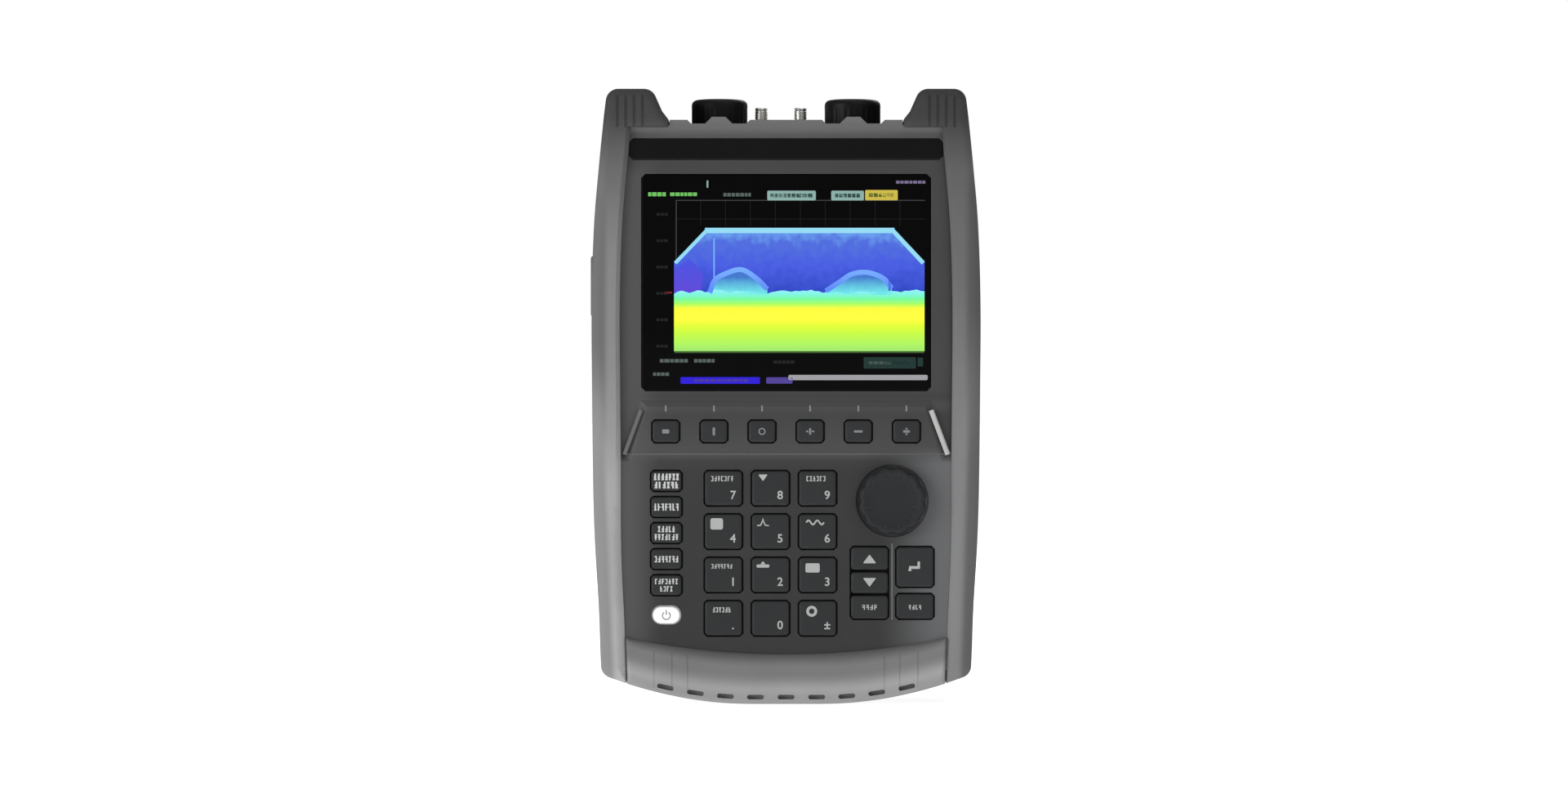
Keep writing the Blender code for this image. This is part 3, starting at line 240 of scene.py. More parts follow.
# Height over the curved sole: z less (|x| - flat half) squared over twice the sole's radius
def overSole(tree):
    split = put(tree, "ShaderNodeSeparateXYZ", {0: placeIn(tree)}).outputs
    beyond = compute(tree, "SUBTRACT", compute(tree, "ABSOLUTE", split["X"]), casing["soleHalf"] * mm)
    square = compute(tree, "POWER", compute(tree, "MAXIMUM", beyond, 0.0), 2.0)
    rise = compute(tree, "MULTIPLY", square, 1 / (2 * casing["soleRadius"] * mm))
    return compute(tree, "SUBTRACT", split["Z"], rise)


# Stops are pairs of a place in millimetres and a grey; without an axis they lie over the sole
# Each ramp paints light and shade as greys along a face
def paintedShadingRamp(tree, axis, stops):
    low, high = stops[0][0], stops[-1][0]
    reach = reachAlong(tree, placeIn(tree), axis) if axis else overSole(tree)
    spread = remap(tree, reach, low * mm, high * mm)
    return colourRamp(tree, spread, [((place - low) / (high - low), grey) for place, grey in stops])


xAxis, zAxis = (1.0, 0.0, 0.0), (0.0, 0.0, 1.0)
# The crown of each grip leans in towards the bottom; beyond it the grips' outer faces are painted darker as
# shade
leftShadeSlant, rightShadeSlant = (1.0, 0.0, 0.043), (1.0, 0.0, -0.03)
# Painted light and shade along the height of each grip: the left grip is painted as lit and the right one as
# shaded, both are painted paler towards the bottom as light from a low lamp, and both get darker towards the
# horns
leftGripPaintedLight = ((0, 172), (30, 174), (50, 166), (100, 165), (130, 149), (160, 138), (200, 131), (230, 119),
            (255, 101), (268, 84), (280, 62), (294, 56))
rightGripPaintedShade = ((0, 126), (50, 131), (130, 127), (160, 118), (200, 107), (230, 102), (255, 92), (268, 78),
             (280, 58), (294, 52))
# Painted light and shade on the front case: a highlight along the crest's top edge, shade just under the
# window, and paler and darker strips across the soft-key field
frontPaintedShading = ((0, 50), (110, 52), (116, 56), (119, 72), (128, 67), (138, 61), (143, 70), (147, 58), (150, 64),
             (250, 62), (262, 60), (268, 66), (272, 81), (275, 98), (280, 108))
# Painted light and shade on the chin, by height over the sole: a bright strip low on its front as a highlight
# and a darker top slope as shade
chinPaintedShading = ((0, 148), (4, 156), (6.5, 162), (8, 158), (10, 146), (12, 130), (14.5, 120), (18, 121), (22, 96),
            (25, 80))

# Over the ramp, two patches of painted light: the face right of the knob and the left strip beside the window
# are painted paler
frontCase = surface("frontCase", tone(66), 0.55, 1900.0, 0.35, 0.05, 0.12, along=(zAxis, frontPaintedShading),
                    paintedShadingBands=[(tone(101, 102, 104), (xAxis, 42, 78), (zAxis, 124, 114)),
                           (tone(80), (xAxis, -58, -76), (zAxis, 264, 250))])
backCase = surface("backCase", tone(62, 63, 65), 0.6, 1500.0, 0.4, 0.06, 0.14)
# The two grips are lit and shaded copies of one rubber; their bands paint the outer faces darker as shade
leftRubber = surface("leftRubber", tone(140), 0.72, 2600.0, 0.3, 0.04, 0.1, along=(zAxis, leftGripPaintedLight),
                     paintedShadingBands=[(tone(107), (xAxis, -84.2, -88), (zAxis, 110, 175), (zAxis, 262, 240)),
                            (tone(140), (leftShadeSlant, -79.9, -83.6), (zAxis, 175, 110))])
rightRubber = surface("rightRubber", tone(125), 0.72, 2600.0, 0.3, 0.04, 0.1, along=(zAxis, rightGripPaintedShade),
                      paintedShadingBands=[(tone(84), (xAxis, 84, 88.5), (zAxis, 110, 200), (zAxis, 262, 240)),
                             (tone(98), (rightShadeSlant, 81, 85), (zAxis, 200, 110))])
chinRubber = surface("chinRubber", tone(133, 133, 134), 0.7, 2600.0, 0.3, 0.04, 0.1, along=(None, chinPaintedShading))
slotShade = surface("slotShade", tone(40), 0.85, 1800.0, 0.3, 0.04, 0.1, specular=0.1)
doorRubber = surface("doorRubber", tone(104, 105, 106), 0.75, 2600.0, 0.3, 0.04, 0.1, 0.3, tone(140))
keyRubber = surface("keyRubber", tone(46, 47, 48), 0.55, 3200.0, 0.2, 0.02, 0.08, 0.2, tone(80), specular=0.2)
keyWhite = surface("keyWhite", tone(250, 250, 248), 0.45, 3200.0, 0.15, 0.02, 0.02)
# A faint painted glow makes the white key read brighter
feed(keyWhite.node_tree, keyWhite.node_tree.nodes["Principled BSDF"],
     {"Emission Color": (1.0, 1.0, 1.0, 1.0), "Emission Strength": 0.16})
legendInk = surface("legendInk", tone(200, 201, 200), 0.5, 3200.0, 0.1, 0.01, 0.05)
padInk = surface("padInk", tone(176, 177, 176), 0.5, 3200.0, 0.1, 0.01, 0.05)
legendDim = surface("legendDim", tone(128, 129, 131), 0.5, 3200.0, 0.1, 0.01, 0.05)
knobRubber = surface("knobRubber", tone(40, 41, 43), 0.55, 3000.0, 0.25, 0.03, 0.08, 0.25, tone(80),
                     specular=0.2)
capRubber = surface("capRubber", tone(10, 10, 11), 0.5, 2400.0, 0.25, 0.03, 0.1, 0.2, tone(50), specular=0.18)
headerGloss = surface("headerGloss", tone(12, 12, 13), 0.16, 900.0, 0.02, 0.01, 0.03, coat=0.15, specular=0.2)
windowGloss = surface("windowGloss", tone(4, 4, 5), 0.12, 900.0, 0.01, 0.01, 0.02, specular=0.12)
nickel = surface("nickel", tone(226, 224, 219), 0.34, 2200.0, 0.1, 0.01, 0.06, metallic=1.0)
gold = surface("gold", tone(228, 186, 96), 0.25, 2200.0, 0.1, 0.01, 0.05, metallic=1.0)
steel = surface("steel", tone(150, 150, 152), 0.35, 1800.0, 0.15, 0.01, 0.08, metallic=1.0)
whitePlastic = surface("whitePlastic", tone(232, 230, 222), 0.4, 1800.0, 0.1, 0.01, 0.03)
blackPlastic = surface("blackPlastic", tone(26, 26, 28), 0.42, 1800.0, 0.3, 0.03, 0.1)
batteryCase = surface("batteryCase", tone(30, 30, 32), 0.5, 1500.0, 0.3, 0.04, 0.12)
bailPlastic = surface("bailPlastic", tone(30, 31, 33), 0.48, 1700.0, 0.35, 0.04, 0.1, 0.2, tone(90))
castMetal = surface("castMetal", tone(160, 161, 163), 0.45, 900.0, 0.3, 0.05, 0.1, metallic=1.0)
boardGreen = surface("boardGreen", tone(24, 92, 54), 0.35, 700.0, 0.1, 0.02, 0.12, coat=0.2)
sealRubber = surface("sealRubber", tone(18, 18, 19), 0.7, 1500.0, 0.2, 0.03, 0.06)
matRubber = surface("matRubber", tone(58, 58, 62), 0.7, 1500.0, 0.2, 0.03, 0.06)
ribbonCloth = surface("ribbonCloth", tone(74, 30, 26), 0.8, 900.0, 0.6, 0.08, 0.2)
lampGreen = surface("lampGreen", tone(70, 120, 74), 0.3, 1500.0, 0.1, 0.01, 0.04)
labelFoil = surface("labelFoil", tone(168, 170, 173), 0.38, 1200.0, 0.08, 0.01, 0.04, metallic=0.6)
edgeGrey = surface("edgeGrey", tone(104, 105, 107), 0.45, 1900.0, 0.2, 0.03, 0.06)
# Painted highlight: the bright trim stands for light caught along the right edge of the soft-key field
edgeBright = surface("edgeBright", tone(190, 191, 188), 0.35, 1900.0, 0.15, 0.03, 0.05)
print("finishes ready")


# Mesh building

def bridge(bm, first, second):
    for index in range(len(first)):
        after = (index + 1) % len(first)
        bm.faces.new((first[index], first[after], second[after], second[index]))


def vertsAt(bm, points):
    return [bm.verts.new(point) for point in points]


def loft(bm, rings, startCap=True, endCap=True):
    loops = [vertsAt(bm, ring) for ring in rings]
    for first, second in zip(loops, loops[1:]):
        bridge(bm, first, second)
    if startCap:
        bm.faces.new(loops[0][::-1])
    if endCap:
        bm.faces.new(loops[-1])
    return loops


def crown(bm, loop, rings, centre):
    for ring in rings:
        inner = vertsAt(bm, ring)
        bridge(bm, loop, inner)
        loop = inner
    middle = bm.verts.new(centre)
    for index in range(len(loop)):
        bm.faces.new((loop[index], loop[(index + 1) % len(loop)], middle))


def strip(x0, z0, x1, z1):
    return [(x0, z0), (x1, z0), (x1, z1), (x0, z1)]


def roundedLoop(x, z, width, height, corner, steps=6):
    points = []
    corner = min(corner, width / 2 - 0.01, height / 2 - 0.01)
    for right, up, start in ((1, 1, 0), (-1, 1, 90), (-1, -1, 180), (1, -1, 270)):
        for degrees in evenly(start, start + 90, steps):
            angle = math.radians(degrees)
            points.append((x + right * (width / 2 - corner) + corner * math.cos(angle),
                           z + up * (height / 2 - corner) + corner * math.sin(angle)))
    return points


def atDepth(outline, y):
    return [(x, y, z) for x, z in outline]


def atSide(outline, x):
    return [(x, y, z) for y, z in outline]


def atHeight(outline, z):
    return [(x, y, z) for x, y in outline]


def placed(name, data):
    piece = bpy.data.objects.new(name, data)
    bpy.context.scene.collection.objects.link(piece)
    return piece


def meshObject(name, bm, finishes, unit=mm, outward=True):
    if outward:
        bmesh.ops.recalc_face_normals(bm, faces=bm.faces)
    mesh = bpy.data.meshes.new(name)
    bm.to_mesh(mesh)
    bm.free()
    mesh.transform(Matrix.Scale(unit, 4))
    for finish in finishes:
        mesh.materials.append(finish)
    return placed(name, mesh)


def solid(name, finishes, *ringSets, unit=mm):
    bm = bmesh.new()
    for rings in ringSets:
        loft(bm, rings)
    return meshObject(name, bm, finishes, unit)


def cutter(name, *ringSets, finishes=()):
    return solid(name, finishes, *ringSets, unit=1.0)


def shadeSmooth(piece, angle=35):
    piece.data.shade_smooth()
    piece.data.set_sharp_from_angle(angle=math.radians(angle))
    piece.modifiers.new("evenNormals", "WEIGHTED_NORMAL").keep_sharp = True
    return piece


def splitFaces(piece):
    bm = bmesh.new()
    bm.from_mesh(piece.data)
    bmesh.ops.triangulate(bm, faces=bm.faces[:])
    bm.to_mesh(piece.data)
    bm.free()


def softenEdges(piece, width, segments=2, angle=32):
    bevel = piece.modifiers.new("softEdges", "BEVEL")
    bevel.width = width * mm
    bevel.segments = segments
    bevel.limit_method = "ANGLE"
    bevel.angle_limit = math.radians(angle)
    bevel.harden_normals = True
    return piece


def settle(piece, body, slotName, *replaced):
    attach(piece, body)
    if replaced:
        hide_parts(*replaced)
    return piece


def smoothPiece(name, finish, angle, ringSets, body, slotName, *replaced):
    return settle(shadeSmooth(solid(name, [finish], *ringSets), angle), body, slotName, *replaced)


def settleCarved(piece, body, slotName, *replaced):
    piece.data.transform(Matrix.Scale(mm, 4))
    return settle(shadeSmooth(piece, 30), body, slotName, *replaced)


# Cuts are made while a piece is still in millimetres, where the solver is steadier
def carve(piece, cutters, operation="DIFFERENCE"):
    splitFaces(piece)
    for tool in cutters:
        splitFaces(tool)
        boolean = piece.modifiers.new(tool.name, "BOOLEAN")
        boolean.operation = operation
        boolean.solver = "EXACT"
        boolean.use_self = True
        boolean.object = tool
    bpy.context.view_layer.update()
    graph = bpy.context.evaluated_depsgraph_get()
    shape = bpy.data.meshes.new_from_object(piece.evaluated_get(graph))
    piece.modifiers.clear()
    old = piece.data
    piece.data = shape
    bpy.data.meshes.remove(old)
    for tool in cutters:
        bpy.data.objects.remove(tool)
    print("carved", piece.name, len(piece.data.polygons), "faces")
    return piece


def turned(centre, axis, profile, steps=48, waviness=None):
    turn = Vector((0, 0, 1)).rotation_difference(Vector(axis)).to_matrix()
    rings = []
    for distance, radius in profile:
        ring = []
        for step in range(steps):
            angle = math.tau * step / steps
            reach = waviness(angle, radius, distance) if waviness else radius
            arm = Vector((reach * math.cos(angle), reach * math.sin(angle), distance))
            ring.append(Vector(centre) + turn @ arm)
        rings.append(ring)
    return rings


def makeTidySurface():
    group = bpy.data.node_groups.new("tidySurface", "GeometryNodeTree")
    for way in ("INPUT", "OUTPUT"):
        group.interface.new_socket("Geometry", in_out=way, socket_type="NodeSocketGeometry")
    angle = put(group, "GeometryNodeInputMeshEdgeAngle").outputs["Unsigned Angle"]
    flat = put(group, "FunctionNodeCompare", {"A": angle, "B": math.radians(33)}, data_type="FLOAT",
               operation="LESS_EQUAL").outputs["Result"]
    shape = put(group, "NodeGroupInput").outputs[0]
    for domain, sockets in (("FACE", {}), ("EDGE", {"Shade Smooth": flat})):
        sockets["Geometry"] = shape
        shape = put(group, "GeometryNodeSetShadeSmooth", sockets, domain=domain).outputs[0]
    put(group, "NodeGroupOutput", {0: shape})
    return group


tidySurface = makeTidySurface()


def dressNode(name, finish, edge=0.0):
    node = nodes[name]
    node.data.materials.clear()
    node.data.materials.append(finish)
    node.modifiers.new("weld", "WELD").merge_threshold = 0.004 * mm
    if edge:
        flat = node.modifiers.new("flatFaces", "DECIMATE")
        flat.decimate_type = "DISSOLVE"
        flat.angle_limit = math.radians(0.6)
        softenEdges(node, edge)
    else:
        node.modifiers.new("shading", "NODES").node_group = tidySurface


# Casing curves

def throughKnots(knots, value):
    value = min(max(value, knots[0][0]), knots[-1][0])
    last = len(knots) - 1
    index = 0
    while index < last - 1 and value > knots[index + 1][0]:
        index += 1
    slopes = []
    for knot in (index, index + 1):
        before, after = knots[max(knot - 1, 0)], knots[min(knot + 1, last)]
        slopes.append((after[1] - before[1]) / (after[0] - before[0]))
    low, high = knots[index], knots[index + 1]
    span = high[0] - low[0]
    t = (value - low[0]) / span
    return (low[1] * (2 * t ** 3 - 3 * t * t + 1) + high[1] * (3 * t * t - 2 * t ** 3)
            + span * (slopes[0] * (t ** 3 - 2 * t * t + t) + slopes[1] * (t ** 3 - t * t)))


def sideX(z):
    return casing["halfWidth"] * throughKnots(casing["sides"], z / casing["height"])


def soleZ(x):
    beyond = max(0.0, abs(x) - casing["soleHalf"])
    return beyond * beyond / (2 * casing["soleRadius"])


def lipX(z):
    return sideX(z) - casing["lipWidth"]


def roundCorners(corners, steps=8):
    points = []
    for index, (x, z, radius) in enumerate(corners):
        here = Vector((x, z))
        if radius <= 0:
            points.append((x, z))
            continue
        before = Vector(corners[index - 1][:2]) - here
        after = Vector(corners[(index + 1) % len(corners)][:2]) - here
        half = before.angle(after) / 2
        reach = min(radius / math.tan(half), before.length * 0.49, after.length * 0.49)
        radius = reach * math.tan(half)
        start = here + before.normalized() * reach
        centre = here + (before.normalized() + after.normalized()).normalized() * (radius / math.sin(half))
        turn = (here + after.normalized() * reach - centre).angle_signed(start - centre)
        for step in range(steps + 1):
            arm = (start - centre).copy()
            arm.rotate(Matrix.Rotation(turn * step / steps, 2))
            points.append(tuple(centre + arm))
    return points


def drawnIn(outline, distanceAt):
    points = []
    for index, point in enumerate(outline):
        here = Vector(point)
        ahead = (Vector(outline[(index + 1) % len(outline)]) - here).normalized()
        behind = (here - Vector(outline[index - 1])).normalized()
        first, second = Vector((-behind.y, behind.x)), Vector((-ahead.y, ahead.x))
        points.append(tuple(here + (first + second) * (distanceAt(*point) / (1 + first.dot(second)))))
    return points


def drawnInCorners(corners, distanceAt):
    moved = drawnIn([(x, z) for x, z, radius in corners], distanceAt)
    smaller = []
    for (x, z, radius), (newX, newZ) in zip(corners, moved):
        smaller.append((newX, newZ, max(radius - distanceAt(x, z), 0.4) if radius else 0))
    return roundCorners(smaller)


# Rings that round a section's front and back edges over; outlineAt draws in by a share of its span
def roundedRings(outlineAt, frontDepth, backDepth, steps):
    rings = []
    angles = evenly(0, math.pi / 2, steps)
    for isFront, run in ((True, angles), (False, angles[::-1])):
        for angle in run:
            sunk = 1 - math.cos(angle)
            y = frontY + frontDepth * sunk if isFront else backY - backDepth * sunk
            rings.append(atDepth(outlineAt(isFront, 1 - math.sin(angle)), y))
    return rings


# Side grips: rounded rubber channels with a horn on top

grip = {"frontSpan": 4.6, "lowFrontSpan": 7.4, "frontDepth": 3.6, "backSpan": 4.0, "backDepth": 4.0,
        "edgeSteps": 7, "spanFadeLow": 95.0, "spanFadeHigh": 150.0, "innerSlope": 2.0, "lowInnerSlope": 3.2,
        "lipExtra": 1.5, "lipFadeLow": 45, "lipFadeHigh": 120, "pastMiddle": -5.0, "below": -4.0,
        "ribCount": 13, "ribPitch": 7.2, "ribStart": 36.0, "ribHeight": 2.6, "ribLength": 41.0, "ribY": 2.5,
        "ribDepth": 0.9, "hornGrooves": (68.5, 72.5, 76.5, 80.5), "hornGrooveWidth": 1.3,
        "hornGrooveDepth": 0.5, "hornGrooveZ": 286.5, "hornGrooveTall": 22.0, "hornLip": 1.3, "doorY": 6.0,
        "doorDeep": 28.0, "doorGap": 0.6, "topCornerClear": 2.2, "crestRound": 3.0}


def gripSection(side):
    lowX, height, corner = sideX(0), casing["height"], casing["hornCorner"]
    clear = casing["lowCorner"] + grip["lowFrontSpan"]
    corners = [(x, soleZ(x), 0) for x in evenly(casing["hornRoot"], lowX - clear, 6)]
    corners.append((lowX, soleZ(lowX), casing["lowCorner"]))
    for z in evenly(soleZ(lowX) + clear, height - grip["topCornerClear"] * corner, 36):
        corners.append((sideX(z), z, 0))
    corners += [(sideX(height), height, corner), (casing["hornTopInner"], height, corner),
                (casing["hornNeck"], casing["crestZ"] + casing["neckRise"], 0),
                (casing["hornRoot"], casing["crestZ"], grip["crestRound"])]

    def outlineAt(isFront, share):
        def span(x, z):
            if not isFront:
                return grip["backSpan"] * share
            fade = smoothStep(grip["spanFadeLow"], grip["spanFadeHigh"], z)
            return (grip["lowFrontSpan"] + (grip["frontSpan"] - grip["lowFrontSpan"]) * fade) * share

        return [(side * x, z) for x, z in drawnInCorners(corners, span)]

    return roundedRings(outlineAt, grip["frontDepth"], grip["backDepth"], grip["edgeSteps"])


def gripCutters(side, name):
    middle = side * grip["pastMiddle"]

    def opening(spread):
        points = []
        for z in evenly(grip["below"], casing["hornBase"] - grip["hornLip"], 40):
            fade = smoothStep(grip["spanFadeLow"] - 20, grip["spanFadeHigh"], z)
            slope = grip["lowInnerSlope"] + (grip["innerSlope"] - grip["lowInnerSlope"]) * fade
            inner = lipX(z) - grip["lipExtra"] * smoothStep(grip["lipFadeLow"], grip["lipFadeHigh"], z)
            points.append((side * (inner + slope * spread), z))
        points[-1] = (points[-1][0], points[-1][1] + 0.4 * spread)
        return points + [(middle, points[-1][1]), (middle, points[0][1])]

    lips = [atDepth(opening(spread), y) for spread, y in (
        (1.6, frontY - 1.5), (1.0, frontY), (0.35, panelY - 1.5), (0.0, panelY - 0.3), (0.0, rearY + 0.5),
        (0.25, rearY + 2.5), (0.4, backY + 1.5))]
    core = []
    for z in evenly(casing["bumperWall"] - 3, casing["hornBase"], 40):
        x = sideX(z) - casing["gripWall"]
        core.append((side * x, max(z, casing["bumperWall"] + soleZ(x))))
    core += [(middle, core[-1][1]), (middle, core[0][1])]
    doorLow, doorHigh = boxOf(("left" if side < 0 else "right") + "_port_door")
    hole = roundedLoop(grip["doorY"], (doorLow.z + doorHigh.z) / 2, grip["doorDeep"],
                       doorHigh.z - doorLow.z + 2 * grip["doorGap"], 0.6, 3)
    grooves = []
    for index in range(grip["ribCount"]):
        z = grip["ribStart"] + grip["ribPitch"] * index
        slot = roundedLoop(grip["ribY"], z, grip["ribLength"], grip["ribHeight"], grip["ribHeight"] / 2, 5)
        grooves.append([atSide(slot, side * (sideX(z) + out)) for out in (-grip["ribDepth"], 0.15, 3)])
    wide = grip["hornGrooveWidth"]
    for x in grip["hornGrooves"]:
        slot = roundedLoop(side * x, grip["hornGrooveZ"], wide, grip["hornGrooveTall"], wide / 2, 4)
        grooves.append([atDepth(slot, frontY + depth) for depth in (-2, grip["hornGrooveDepth"])])
    return [cutter(name + "Lips", lips),
            cutter(name + "Core", [atDepth(core, panelY - 0.3), atDepth(core, rearY + 0.3)]),
            cutter(name + "DoorHole", [atSide(hole, side * (casing["halfWidth"] + out)) for out in (-14, 3)]),
            cutter(name + "Grooves", *grooves)]


for side, name, finish, node in ((-1, "gripLeft", leftRubber, "left_side_grip"),
                                 (1, "gripRight", rightRubber, "right_side_grip")):
    piece = solid(name, [finish], gripSection(side), unit=1.0)
    settleCarved(carve(piece, gripCutters(side, name)), "casing", "grip", node)
print("grips made")


# Bottom bumper with a row of slots along its edge

bumper = {"chinHeight": 24.2, "chinRise": 7.8, "topSpan": 4.6, "frontSpan": 2.6, "frontDepth": 3.4,
          "backSpan": 4.0, "backDepth": 4.0, "sideSpan": 1.1, "sideFade": 9, "spanRise": 6, "edgeSteps": 6,
          "sideGap": 0.3, "coreHalf": 88, "coreTop": 60, "slotCount": 9, "slotPitch": 14.6, "slotWidth": 8.0,
          "slotHeight": 2.2, "slotLift": 3.5, "slotDepth": 4.0,
          "grooves": (-63.0, -54.4, -47.0, 47.0, 54.4, 63.0), "grooveZ": 20, "grooveTall": 30.0,
          "grooveWidth": 0.7, "grooveDepth": 0.16}


def bumperSection():
    topX = lipX(bumper["chinHeight"] + bumper["chinRise"]) - bumper["sideGap"]
    lowX = lipX(0) - bumper["sideGap"]
    right = [(x, soleZ(x)) for x in evenly(casing["soleHalf"], lowX, 13)]
    chin = [(topX * share, bumper["chinHeight"] + bumper["chinRise"] * share * share)
            for share in evenly(1, -1, 32)]
    outline = right + chin + [(-x, z) for x, z in reversed(right)]

    def outlineAt(isFront, share):
        lowSpan = bumper["frontSpan" if isFront else "backSpan"]

        def span(x, z):
            inner = smoothStep(0, bumper["sideFade"], topX - abs(x))
            high = bumper["sideSpan"] + (bumper["topSpan"] - bumper["sideSpan"]) * inner
            return (lowSpan + (high - lowSpan) * smoothStep(0, bumper["spanRise"], z - soleZ(x))) * share

        return drawnIn(outline, span)

    return roundedRings(outlineAt, bumper["frontDepth"], bumper["backDepth"], bumper["edgeSteps"])


def bumperCutters():
    half, top = bumper["coreHalf"], bumper["coreTop"]
    core = [(x, casing["bumperWall"] + soleZ(x)) for x in evenly(-half, half, 40)]
    core += [(half, top), (-half, top)]
    slots = []
    for index in range(bumper["slotCount"]):
        x = (index - (bumper["slotCount"] - 1) / 2) * bumper["slotPitch"]
        tilt = math.copysign(math.atan(max(0.0, abs(x) - casing["soleHalf"]) / casing["soleRadius"]), x)
        ring = []
        for px, pz in roundedLoop(0, bumper["slotLift"], bumper["slotWidth"], bumper["slotHeight"], 1.0, 3):
            ring.append((x + px * math.cos(tilt) - pz * math.sin(tilt),
                         soleZ(x) + px * math.sin(tilt) + pz * math.cos(tilt)))
        slots.append([atDepth(ring, frontY - 2), atDepth(ring, frontY + bumper["slotDepth"])])
        slots.append([atDepth(ring, backY - bumper["slotDepth"]), atDepth(ring, backY + 2)])
    grooves = []
    for x in bumper["grooves"]:
        slot = roundedLoop(x, bumper["grooveZ"], bumper["grooveWidth"], bumper["grooveTall"],
                           bumper["grooveWidth"] / 2, 3)
        grooves.append([atDepth(slot, frontY - 2), atDepth(slot, frontY + bumper["grooveDepth"])])
    return [cutter("bumperCore", [atDepth(core, panelY - 0.3), atDepth(core, rearY + 0.3)]),
            cutter("bumperSlots", *slots, finishes=[slotShade]), cutter("bumperGrooves", *grooves)]


bumperPiece = carve(solid("bumperSole", [chinRubber], bumperSection(), unit=1.0), bumperCutters())
settleCarved(bumperPiece, "casing", "bumper", "bottom_bumper")
print("bumper made")


# Shells and the other CAD solids that stay, with their finishes and the width of their softened edges

for node, finish, edge in (
        ("front_shell", frontCase, 0.45), ("rear_shell", backCase, 0.6), ("shell_seal", sealRubber, 0.0),
        ("display_panel", castMetal, 0.0), ("encoder_shaft", steel, 0.0), ("keypad_mat", matRubber, 0.0),
        ("keypad_board", boardGreen, 0.0), ("main_board", boardGreen, 0.0), ("rf_module", castMetal, 0.4),
        ("chassis_frame", castMetal, 0.3), ("data_connectors", steel, 0.25),
        ("power_connectors", steel, 0.25), ("battery_pack", batteryCase, 0.6),
        ("battery_door", backCase, 0.4), ("battery_latch", blackPlastic, 0.3),
        *[(f"case_screw_{number}", steel, 0.0) for number in range(1, 5)]):
    dressNode(node, finish, edge)
print("solids dressed")


# Keys: crowned caps on a flange, each with its printed marks

key = {"flangeX": 1.2, "flangeZ": 0.6, "flangeThick": 1.2, "shrink": 0.3, "corner": 1.7, "edge": 1.0,
       "dome": 0.32, "domeShare": 0.6, "edgeSteps": 5, "crownShares": (0.8, 0.55, 0.28)}
straightFlange = ("back_key", "nav_down_key", "nav_up_key")


def flangeOf(node):
    return 0.0 if node in straightFlange else key["flangeZ"]


def keyBounds(node):
    low, high = boxOf(node)
    return ((low.x + high.x) / 2, (low.z + high.z) / 2, high.x - low.x - 2 * key["flangeX"],
            high.z - low.z - 2 * flangeOf(node), low.y, high.y)


def keyFaceY(node, x, z):
    centreX, centreZ, width, height, front, back = keyBounds(node)
    share = ((x - centreX) / (width / 2)) ** 2 + ((z - centreZ) / (height / 2)) ** 2
    return front + key["dome"] * min(share, 1.4) * key["domeShare"]


def makeKey(node, body):
    x, z, width, height, front, back = keyBounds(node)
    isPower = node == "power_key"
    wide = roundedLoop(x, z, width + 2 * key["flangeX"], height + 2 * flangeOf(node), 1.6)
    width, height = width - 2 * key["shrink"], height - 2 * key["shrink"]
    edge, rise = key["edge"], key["dome"] * key["domeShare"]
    corner = height / 2 if isPower else key["corner"]
    flangeY = back - key["flangeThick"]
    rings = [atDepth(wide, back), atDepth(wide, flangeY),
             atDepth(roundedLoop(x, z, width, height, corner), flangeY)]
    for angle in evenly(0, math.pi / 2, key["edgeSteps"]):
        drop = edge * (1 - math.cos(angle))
        loop = roundedLoop(x, z, width - 2 * drop, height - 2 * drop, max(corner - drop, 0.5))
        rings.append(atDepth(loop, front + edge + rise - edge * math.sin(angle)))
    bm = bmesh.new()
    loops = loft(bm, rings, endCap=False)
    inner = []
    for share in key["crownShares"]:
        loop = roundedLoop(x, z, (width - 2 * edge) * share, (height - 2 * edge) * share,
                           max((corner - edge) * share, 0.2))
        inner.append(atDepth(loop, front + rise * share * share))
    crown(bm, loops[-1], inner, (x, front, z))
    piece = meshObject(body.replace("_", "") + "Cap", bm, [keyWhite if isPower else keyRubber])
    return settle(shadeSmooth(piece, 40), body, "power_key" if isPower else "key", node)


# Thin printed shapes laid on a face
def printed(name, shapes, faceY, finish, body, slotName, thickness=0.16):
    bm = bmesh.new()
    for outline in shapes:
        front = vertsAt(bm, [(x, faceY(x, z) - thickness * 0.55, z) for x, z in outline])
        back = vertsAt(bm, [(x, faceY(x, z) + thickness, z) for x, z in outline])
        bm.faces.new(front)
        bm.faces.new(back[::-1])
        bridge(bm, front, back)
    return settle(meshObject(name, bm, [finish]), body, slotName)


def bar(x, z, width, height, corner=0.35):
    return [roundedLoop(x, z, width, height, min(corner, height / 2.2), 2)]


def dots(x, z, width, height, count, seed, gap=0.34):
    maker = random.Random(seed)
    widths = [maker.uniform(0.75, 1.25) for _ in range(count)]
    scale = (width - gap * (count - 1)) / sum(widths)
    shapes = []
    left = x - width / 2
    for share in widths:
        wide = share * scale
        shapes.append(roundedLoop(left + wide / 2, z, wide, height, 0.22, 2))
        left += wide + gap
    return shapes


# Rows of short strokes that look like print from afar and spell nothing
def strokeRow(x, z, width, height, count, seed, stroke=0.42):
    maker = random.Random(seed)
    shapes = []
    pitch = width / count
    wide = pitch * 0.68
    low, high = z - height / 2, z + height / 2
    level = {"low": low, "middle": z - stroke / 2, "high": high - stroke}
    for index in range(count):
        left = x - width / 2 + index * pitch + (pitch - wide) / 2
        upright = maker.choice((left, left + wide - stroke, left + wide / 2 - stroke / 2))
        shapes.append(strip(upright, low, upright + stroke, high))
        for name in maker.sample(sorted(level), 2):
            end = left + wide * (0.6 if maker.random() < 0.3 else 1.0)
            shapes.append(strip(left, level[name], end, level[name] + stroke))
    return shapes


